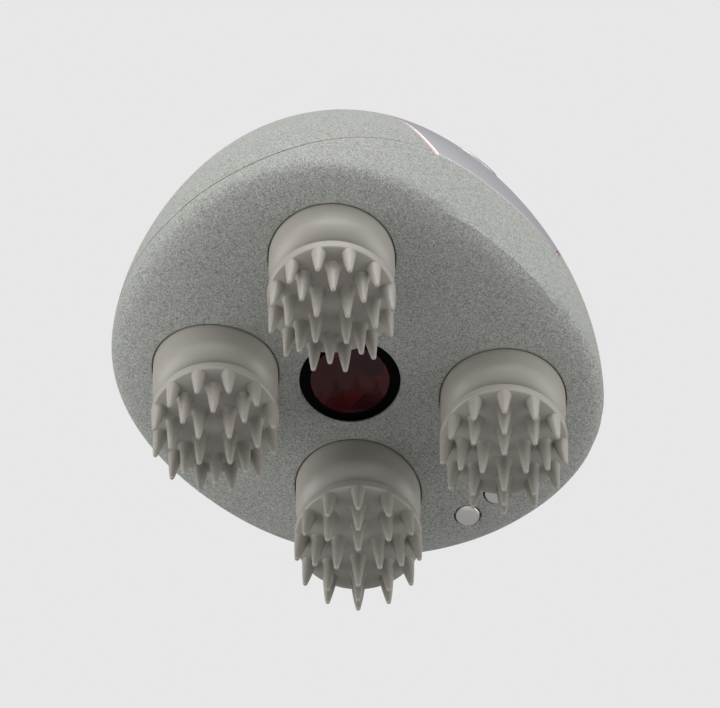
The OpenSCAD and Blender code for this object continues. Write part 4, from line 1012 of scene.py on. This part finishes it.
class MASSAGER_OT_upper_shell(bpy.types.Operator):
    """Build the dome with the pocket that the panel lies in"""
    bl_idname = "massager.build_upper_shell"
    bl_label = "Upper shell"

    def execute(self, context):
        body, panel = context.scene.massager.body, context.scene.massager.panel
        form = body_form()
        keys = form.key_holes()
        half_gap = body.seam_gap / 2
        margin = 1.2 * MM

        def on_skin(x, q):
            """Bearing and climb of the dome's point at that place of the panel's frame"""
            return form.locate_dome(form.panel_point(x, q, form.skin(x, q)))

        side_bearing, side_climb = on_skin(*form.panel_side(0.0, 0.0).T)
        start, end = side_bearing[0] % (2 * pi), side_bearing[-1] % (2 * pi)
        foot_bearing = np.linspace(end - 2 * pi, start, FOOT_STEPS)
        back_bearing = np.linspace(start, end, BACK_STEPS)
        rim_bearing = np.concatenate([back_bearing, foot_bearing[1:-1]])
        placed = [(rim_bearing, form.seam_climb(rim_bearing, 0.0, half_gap))]
        placed += [on_skin(*circle(0, q, r, KEY_STEPS)) for r, q in keys]
        placed.append((side_bearing[1:-1], side_climb[1:-1]))
        placed += [on_skin(*form.panel_side(less * MM, margin).T) for less in (-0.5, -1.3, 0.6, 1.6)]
        placed += [on_skin(*circle(0, q, r + margin, KEY_STEPS)) for r, q in keys]

        base_travel = 46 * MM
        total = form.travel(np.zeros(1), np.full(1, pi / 2))[0]
        bearing, share = polar_grid(total - base_travel, body.grid * 1.1)
        rim = form.travel(bearing, form.seam_climb(bearing, 0.0, half_gap))
        top = form.travel(bearing, np.full(len(bearing), pi / 2))
        climb = form.climb_at(bearing, top - share * (top - rim))
        spot = form.point(bearing, climb)
        edge = np.concatenate([form.point(b, c) for b, c in placed[1:]])
        clear = np.array([np.min(np.sum((edge - p) ** 2, 1)) for p in spot]) > (body.grid * 0.55) ** 2
        for r, q in keys:
            clear &= np.hypot(spot[:, 0], spot @ form.up - q) > r + margin
        placed.append((bearing[clear], climb[clear]))

        loops = ring_ids([len(p[0]) for p in placed])
        bearing, climb = (np.concatenate(values) for values in zip(*placed))
        top = form.travel(bearing, np.full(len(bearing), pi / 2))
        flat = unroll(bearing, top - form.travel(bearing, climb))
        first, last = 0, len(back_bearing) - 1
        side_line = np.concatenate([[first], loops[3], [last]])
        tris = triangulate(flat, loops[:3], side_line)
        pocket_loop = np.concatenate([side_line, loops[0][last + 1:]])
        in_pocket = inside_loop(flat[tris].mean(1), flat[pocket_loop])

        skin = form.point(bearing, climb)
        normal = surface_normals(skin, tris)
        if normal[np.argmax(skin[:, 2]), 2] < 0:
            normal = -normal
        floor = skin - form.out * (panel.thickness + panel.gap)
        inward = -normal
        lean_reach = 3 * MM
        for r, q in keys:
            gap = np.hypot(skin[:, 0], skin @ form.up - q) - r
            lean = (np.clip(1 - gap / lean_reach, 0, 1) * (skin[:, 1] < 0))[:, None]
            inward = inward * (1 - lean) - form.out * lean
        inward /= np.linalg.norm(inward, axis=1, keepdims=True)
        inner = skin + inward * body.wall
        inner_climb = form.seam_climb(rim_bearing, body.wall, half_gap)
        inner[loops[0]] = form.point(rim_bearing, inner_climb, body.wall)
        points = np.concatenate([skin, floor, inner])
        faces = self.faces(len(skin), tris, in_pocket, loops, side_line)
        used = sorted({i for face in faces for i in face})
        index = {old: new for new, old in enumerate(used)}
        piece = Piece().add(points[used], [[index[i] for i in face] for face in faces])
        piece.make("smooth_upper_shell", "housing", "speckled_shell", "upper_shell")
        return {"FINISHED"}

    def faces(self, n, tris, in_pocket, loops, side_line):
        """Faces between the skin, the pocket's floor n points on, and the inside 2 n points on"""
        first, last = side_line[0], side_line[-1]
        faces = [list(t + (n if p else 0)) for t, p in zip(tris, in_pocket)]
        faces += [[2 * n + t[2], 2 * n + t[1], 2 * n + t[0]] for t in tris]
        faces += [[a, b, n + b, n + a] for a, b in zip(side_line, side_line[1:])]
        for loop in loops[1:3]:
            faces += [[n + a, n + b, 2 * n + b, 2 * n + a] for a, b in zip(loop, np.roll(loop, -1))]
        for k, (a, b) in enumerate(zip(loops[0], np.roll(loops[0], -1))):
            drop = 0 if k < last else n
            faces.append([drop + a, drop + b, 2 * n + b, 2 * n + a])
        return faces + [[first, n + first, 2 * n + first], [last, n + last, 2 * n + last]]


class MASSAGER_OT_panel(bpy.types.Operator):
    """Build the silver panel and the rose trim"""
    bl_idname = "massager.build_panel"
    bl_label = "Panel and trim"

    def execute(self, context):
        panel = context.scene.massager.panel
        form = body_form()
        self.plate(form, panel)
        self.trim(form, panel)
        return {"FINISHED"}

    def loop(self, form, less, low):
        """The panel's whole outline, shrunk by less and held above the parting line by low"""
        return np.concatenate([form.panel_side(less, low), form.panel_foot(less, low)])

    def plate(self, form, panel):
        """The silver panel with its two holes and a rounded edge"""
        less, low, edge = 2 * panel.gap + panel.trim, panel.gap, panel.edge
        steps = [edge * k for k in (0.1, 0.3, 0.6, 1.0, 2.2, 4.5)]
        keys = form.key_holes()
        groups = [(self.loop(form, less, low), 0.0)]
        groups += [(np.stack(circle(0, q, r, ROUND_STEPS), -1), 0.0) for r, q in keys]
        groups += [(self.loop(form, less + d, low + d), d) for d in steps]
        groups += [(np.stack(circle(0, q, r + d, ROUND_STEPS), -1), d) for r, q in keys for d in steps[:5]]
        columns = np.arange(-int(panel.half_width / panel.grid) - 1, int(panel.half_width / panel.grid) + 2)
        rows = np.arange(int((panel.middle - panel.low) / panel.grid) - 1,
                         int((panel.middle + panel.high) / panel.grid) + 2)
        off_axis = np.array([0.37, 0.21]) * MM
        grid = np.array([(x, q) for x in columns for q in rows]) * panel.grid + off_axis
        free = inside_loop(grid, self.loop(form, less + 2 * MM, low + 2 * MM))
        for r, q in keys:
            free &= np.hypot(grid[:, 0], grid[:, 1] - q) > r + 1.6 * MM
        groups.append((grid[free], edge))

        flat = np.concatenate([points for points, inward in groups])
        fall = np.concatenate([np.full(len(points), rounding(inward, edge)) for points, inward in groups])
        loops = ring_ids([len(points) for points, inward in groups[:1 + len(keys)]])
        tris = triangulate(flat, loops)
        skin = form.skin(flat[:, 0], flat[:, 1])
        front = form.panel_point(flat[:, 0], flat[:, 1], skin - fall)
        back = form.panel_point(flat[:, 0], flat[:, 1], skin - panel.thickness)
        piece = Piece().add(*slab(tris, loops, front, back))
        piece.make("silver_front_panel", "housing", "silver_panel", "control_panel")

    def trim(self, form, panel):
        """A narrow rounded strip along the panel's sides and top"""
        wide, edge = panel.trim, panel.trim * 0.25
        rows = [(0.0, panel.thickness), (0.0, edge), (edge * 0.3, edge * 0.3), (edge, 0.0),
                (wide - edge, 0.0), (wide - edge * 0.3, edge * 0.3), (wide, edge), (wide, panel.thickness)]
        rings = []
        for across, down in rows:
            x, q = form.panel_side(panel.gap + across, panel.gap).T
            rings.append(form.panel_point(x, q, form.skin(x, q) - down))
        strip = np.stack(rings, 1)
        piece = Piece().add(strip.reshape(-1, 3), ladder(*strip.shape[:2]))
        piece.make("rose_edge_trim", "housing", "rose_trim", "panel_trim")


class MASSAGER_OT_keys(bpy.types.Operator):
    """Build the power key and the light key"""
    bl_idname = "massager.build_keys"
    bl_label = "Keys"

    def execute(self, context):
        panel = context.scene.massager.panel
        form = body_form()
        for name, radius, up in (("power", panel.power_radius, panel.power_up),
                                 ("light", panel.light_radius, panel.light_up)):
            self.key(form, panel, name, radius, panel.middle + up)
        return {"FINISHED"}

    def key(self, form, panel, name, radius, q):
        """A cap with a rounded edge, a skirt that holds it in and a stem that reaches the switch"""
        edge = panel.key_edge
        reach = radius + panel.skirt
        around = form.skin(np.array([0, 0, reach]), np.array([q - reach, q + reach, q]))
        slanted_wall = form.body.wall * 1.15
        skirt_top = around.min() - slanted_wall - panel.skirt_room
        under = skirt_top - panel.skirt_thickness
        points, rings = [], []

        def lay(r, out):
            """Adds a ring of points at the distances out that a function of their places gives"""
            steps = 1 if r == 0 else ROUND_STEPS
            x, y = circle(0, q, r, steps)
            rings.append(range(len(points), len(points) + steps))
            points.extend(form.panel_point(x, y, out(x, y)))

        rows = [radius * k / 10 for k in range(10)]
        rows += [radius - edge * (1 - sin(a)) for a in np.linspace(0, pi / 2, 7)]
        for r in rows:
            fall = rounding(radius - r, edge) + panel.key_crown * (1 - (r / radius) ** 2)
            lay(r, lambda x, y: form.skin(x, y) + panel.key_proud - fall)
        for r, s in ((radius, skirt_top), (reach, skirt_top), (reach, under), (0, under)):
            lay(r, lambda x, y: np.full(len(x), s))
        piece = Piece().add(points, [f for a, b in zip(rings, rings[1:]) for f in band(a, b)])

        board = form.skin(np.zeros(1), np.full(1, panel.middle + panel.power_up))[0] - panel.board_depth
        foot, head, thick = board + panel.switch_height, under + 0.1 * MM, panel.stem_radius
        stem, faces = revolve([(0, foot), (thick, foot), (thick, head), (0, head)], 32)
        stem = np.array(stem)
        piece.add(form.panel_point(stem[:, 0], q + stem[:, 1], stem[:, 2]), faces)
        piece.make(f"{name}_key_cap", f"{name}_key", "silver_button", f"{name}_button")
        self.mark(form, panel, name, radius, q)

    def mark(self, form, panel, name, radius, q):
        """A plain ring let into the key's face, on the power key open at the top round a bar"""
        ring, half, high, buried = radius * 0.4, panel.mark_width / 2, panel.mark_height, -0.1 * MM
        section = [(-half, buried), (-half, high), (half, high), (half, buried)]

        def lift(x, y, up):
            """Points at that height above the key's face"""
            far = np.hypot(x, y - q) / radius
            return form.panel_point(x, y, form.skin(x, y) + panel.key_proud
                                    - panel.key_crown * (1 - far ** 2) + up)

        steps = 64
        power = name == "power"
        gap = radians(40) if power else 0
        angles = np.linspace(pi / 2 + gap, pi / 2 + 2 * pi - gap, steps)
        strip = np.stack([lift((ring + r) * np.cos(angles), q + (ring + r) * np.sin(angles), up)
                          for r, up in section], 1)
        if not power:
            strip = strip[:-1]
        piece = Piece().add(strip.reshape(-1, 3), ladder(len(strip), len(section), closed=not power))
        if power:
            ys = np.linspace(q + ring * 0.15, q + ring * 1.35, 8)
            bar = np.stack([lift(np.full(len(ys), x), ys, up) for x, up in section], 1)
            piece.add(bar.reshape(-1, 3), ladder(len(ys), len(section)))
        piece.make(f"{name}_key_mark", f"{name}_key", "dark_plastic")


class MASSAGER_OT_boots(bpy.types.Operator):
    """Build the four soft boots"""
    bl_idname = "massager.build_boots"
    bl_label = "Boots"

    def execute(self, context):
        heads = context.scene.massager.heads
        r, wall, lip, shoulder = heads.boot_radius, heads.boot_wall, heads.boot_mouth, heads.boot_shoulder
        bore = heads.boot_bore
        for corner in CORNERS:
            low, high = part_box(f"boot_{corner}")
            flange = (high.x - low.x) / 2
            seat, mouth = high.z - heads.boot_flange, low.z
            foot = mouth + heads.boot_foot
            corners = [
                (flange, high.z, 0.3 * MM), (flange, seat, 0.3 * MM), (r, seat, 0), (r, foot, shoulder),
                (lip, mouth, 0.5 * MM), (bore, mouth + 0.35 * MM, 0.35 * MM), (bore, mouth + wall, 0.4 * MM),
                (r - wall, foot + wall, shoulder - wall), (r - wall, high.z, 0),
            ]
            x, y = HEAD_CENTRES[corner]
            piece = Piece().add(*revolve(rounded(corners, True), 128, True), Matrix.Translation((x, y, 0)))
            piece.make(f"soft_boot_{corner}", "housing", "silicone", f"boot_{corner}", sharp=50)
        return {"FINISHED"}


class MASSAGER_OT_pads(bpy.types.Operator):
    """Build the four pads with their rings of spikes"""
    bl_idname = "massager.build_pads"
    bl_label = "Pads"

    # Turn of each pad at rest, in degrees
    PHASES = {"front_left": 182.2, "front_right": 225, "rear_left": 179, "rear_right": 225}

    def execute(self, context):
        heads = context.scene.massager.heads
        flare = heads.spike_flare
        rings = [
            (heads.inner_spikes, heads.inner_ring, heads.inner_reach, heads.inner_lean, flare),
            (heads.middle_spikes, heads.middle_ring, heads.middle_reach, heads.middle_lean, flare),
            (heads.outer_spikes, heads.outer_ring, heads.outer_reach, heads.outer_lean, heads.outer_flare),
        ]
        for corner in CORNERS:
            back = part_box(f"massage_pad_{corner}")[1].z
            rim = back - heads.pad_thickness
            x, y = HEAD_CENTRES[corner]
            middle = Matrix.Translation((x, y, 0))
            piece = Piece().add(*self.disc(heads, rim, back), middle)
            for spikes, radius, reach, lean, flare in rings:
                face = self.face(heads, radius)
                spike = revolve(self.spike(heads, (reach - face) / cos(lean), flare), 28)
                foot = Matrix.Translation((radius, 0, rim - face)) @ Matrix.Rotation(-lean, 4, "Y")
                for k in range(spikes):
                    turn_by = radians(self.PHASES[corner]) + 2 * pi * k / spikes
                    piece.add(*spike, middle @ Matrix.Rotation(turn_by, 4, "Z") @ foot)
            piece.make(f"soft_pad_{corner}", f"head_{corner}", "silicone", f"massage_pad_{corner}", sharp=60)
        return {"FINISHED"}

    def face(self, heads, radius):
        """Depth of the domed face below the rim"""
        ball = (heads.pad_radius ** 2 + heads.pad_dome ** 2) / (2 * heads.pad_dome)
        return sqrt(ball ** 2 - radius ** 2) - (ball - heads.pad_dome)

    def disc(self, heads, rim, back):
        """A disc with a domed face, a rounded edge and a recess in its back"""
        outer, edge = heads.pad_radius, heads.pad_edge
        hollow, floor = heads.recess_radius, back - heads.recess_depth
        radii = [(outer - edge) * k / 14 for k in range(14)]
        profile = [(r, rim - self.face(heads, r)) for r in radii]
        corners = [(*profile[-1], 0), (outer, rim, edge * 0.8), (outer, back, 0.5 * MM),
                   (hollow, back, 0.15 * MM), (hollow, floor, 0), (0, floor, 0)]
        return revolve(profile + rounded(corners)[1:], 144)

    def spike(self, heads, length, flare):
        """Profile of a soft cone that points down, from its buried foot to its rounded tip"""
        foot, tip, root = heads.spike_foot, heads.spike_tip, heads.spike_root
        straight = length - tip
        path = [(0, root), (foot + flare, root)]
        for k in range(13):
            t = (k / 12) ** 1.6
            flared = flare * 2.718 ** (-t * straight / heads.flare_fade)
            path.append((foot + (tip - foot) * t ** 1.35 + flared, -t * straight))
        path += [(tip * cos(a), -straight - tip * sin(a)) for a in np.linspace(0, pi / 2, 7)[1:-1]]
        return path + [(0, -length)]


class MASSAGER_OT_window(bpy.types.Operator):
    """Build the black ring, the red lens and the facetted cup behind it"""
    bl_idname = "massager.build_window"
    bl_label = "Light window"

    def execute(self, context):
        place = Matrix.Translation((WINDOW_CENTRE.x, WINDOW_CENTRE.y, 0))
        low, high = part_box("window_ring")
        ring, lens = (high.x - low.x) / 2, (LENS_BOX[1].x - LENS_BOX[0].x) / 2
        lens_top = LENS_BOX[1].z
        hole, seat = lens + 0.1 * MM, lens + 0.8 * MM
        corners = [(ring, high.z, 0.1 * MM), (ring, low.z, 0.35 * MM), (hole, low.z, 0.25 * MM),
                   (hole, lens_top, 0), (seat, lens_top, 0), (seat, high.z, 0.1 * MM)]
        bezel = Piece().add(*revolve(rounded(corners, True), 144, True), place)
        bezel.make("window_bezel", "housing", "black_gloss", "window_ring")
        corners = [(0, low.z + 0.02 * MM, 0), (lens, low.z + 0.1 * MM, 0.2 * MM),
                   (lens, lens_top, 0.15 * MM), (0, lens_top, 0)]
        glass = Piece().add(*revolve(rounded(corners), 128), place)
        glass.make("window_glass", "housing", "red_lens", "window_lens")
        self.cup(place)
        return {"FINISHED"}

    def cup(self, place):
        """A bright cup whose inside is cut into triangular facets"""
        low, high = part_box("reflector")
        outer = (high.x - low.x) / 2
        wall, throat, sides = 1.1 * MM, 2.2 * MM, 12
        mouth = outer - wall
        middle_z = low.z + (high.z - low.z) * 0.45
        rows = [(mouth, low.z, 0), ((mouth + throat) / 2 + 0.7 * MM, middle_z, 0.5), (throat, high.z, 1)]

        def ring(radius, z, steps, shift=0):
            """Points round a circle, turned by a share of a step"""
            angles = [2 * pi * (k + shift) / steps for k in range(steps)]
            return [(radius * cos(a), radius * sin(a), z) for a in angles]

        points = ring(outer, low.z, ROUND_STEPS) + ring(outer, high.z, ROUND_STEPS)
        start = len(points)
        for radius, z, shift in rows:
            points += ring(radius, z, sides, shift)
        lower, upper = range(ROUND_STEPS), range(ROUND_STEPS, start)
        faces = band(lower, upper)
        for row in range(2):
            for k in range(sides):
                a, b = start + row * sides + k, start + row * sides + (k + 1) % sides
                c, d = a + sides, b + sides
                faces += [[a, b, c], [b, d, c]]
        each = ROUND_STEPS // sides
        for round_ring, first, shift in ((lower, start, 0), (upper, start + 2 * sides, 1)):
            for k in range(sides):
                a, b = first + (k - shift) % sides, first + (k + 1 - shift) % sides
                arc = [round_ring[(each * k + j) % ROUND_STEPS] for j in range(each + 1)]
                faces += [[arc[j], arc[j + 1], a if j < each // 2 else b] for j in range(each)]
                faces.append([arc[each // 2], b, a])
        Piece().add(points, faces, place).make(
            "facetted_cup", "housing", "bright_cup", "reflector", sharp=8)


class MASSAGER_OT_contacts(bpy.types.Operator):
    """Build the two charging contacts"""
    bl_idname = "massager.build_contacts"
    bl_label = "Charging contacts"

    def execute(self, context):
        low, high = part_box("charge_contacts")
        collar = (high.x - low.x) / 2
        face, step = collar - 0.38 * MM, high.z - 2 * MM
        piece = Piece()
        for spot in CONTACTS:
            corners = [(0, spot.z + 0.03 * MM, 0), (face * 0.6, spot.z + 0.06 * MM, 2 * MM),
                       (face, spot.z + 0.3 * MM, 0.3 * MM), (face, step, 0), (collar, step, 0.1 * MM),
                       (collar, high.z, 0), (0, high.z, 0)]
            piece.add(*revolve(rounded(corners), 72), Matrix.Translation((spot.x, spot.y, 0)))
        piece.make("contact_pins", "housing", "contact_metal", "charge_contacts")
        return {"FINISHED"}


class MASSAGER_OT_inner_parts(bpy.types.Operator):
    """Give the drive, the battery and the boards their finishes"""
    bl_idname = "massager.dress_inner_parts"
    bl_label = "Inner parts"

    def execute(self, context):
        dress(*[name for name, node in frame["nodes"].items() if not node.hide_render])
        return {"FINISHED"}


OPERATORS = (
    MASSAGER_OT_materials, MASSAGER_OT_stage, MASSAGER_OT_lower_shell, MASSAGER_OT_upper_shell,
    MASSAGER_OT_panel, MASSAGER_OT_keys, MASSAGER_OT_boots, MASSAGER_OT_pads, MASSAGER_OT_window,
    MASSAGER_OT_contacts, MASSAGER_OT_inner_parts,
)


class MASSAGER_PT_panel(bpy.types.Panel):
    """Lists the steps that build the massager"""
    bl_idname = "MASSAGER_PT_panel"
    bl_label = "Scalp massager"
    bl_space_type = "VIEW_3D"
    bl_region_type = "UI"
    bl_category = "Massager"

    def draw(self, context):
        for operator in OPERATORS:
            self.layout.operator(operator.bl_idname)


CLASSES = (
    MASSAGER_PG_body, MASSAGER_PG_panel, MASSAGER_PG_heads, MASSAGER_PG_finish, MASSAGER_PG_stage,
    MASSAGER_PG_settings, *OPERATORS, MASSAGER_PT_panel,
)


def register():
    """Registers the classes and hangs the settings on the scene"""
    for entry in CLASSES:
        bpy.utils.register_class(entry)
    bpy.types.Scene.massager = PointerProperty(type=MASSAGER_PG_settings)


def unregister():
    """Takes the settings and the classes away again"""
    del bpy.types.Scene.massager
    for entry in reversed(CLASSES):
        bpy.utils.unregister_class(entry)


def main():
    """Builds all pieces in order"""
    register()
    for operator in OPERATORS:
        group, name = operator.bl_idname.split(".")
        getattr(getattr(bpy.ops, group), name)()


if __name__ == "__main__":
    main()
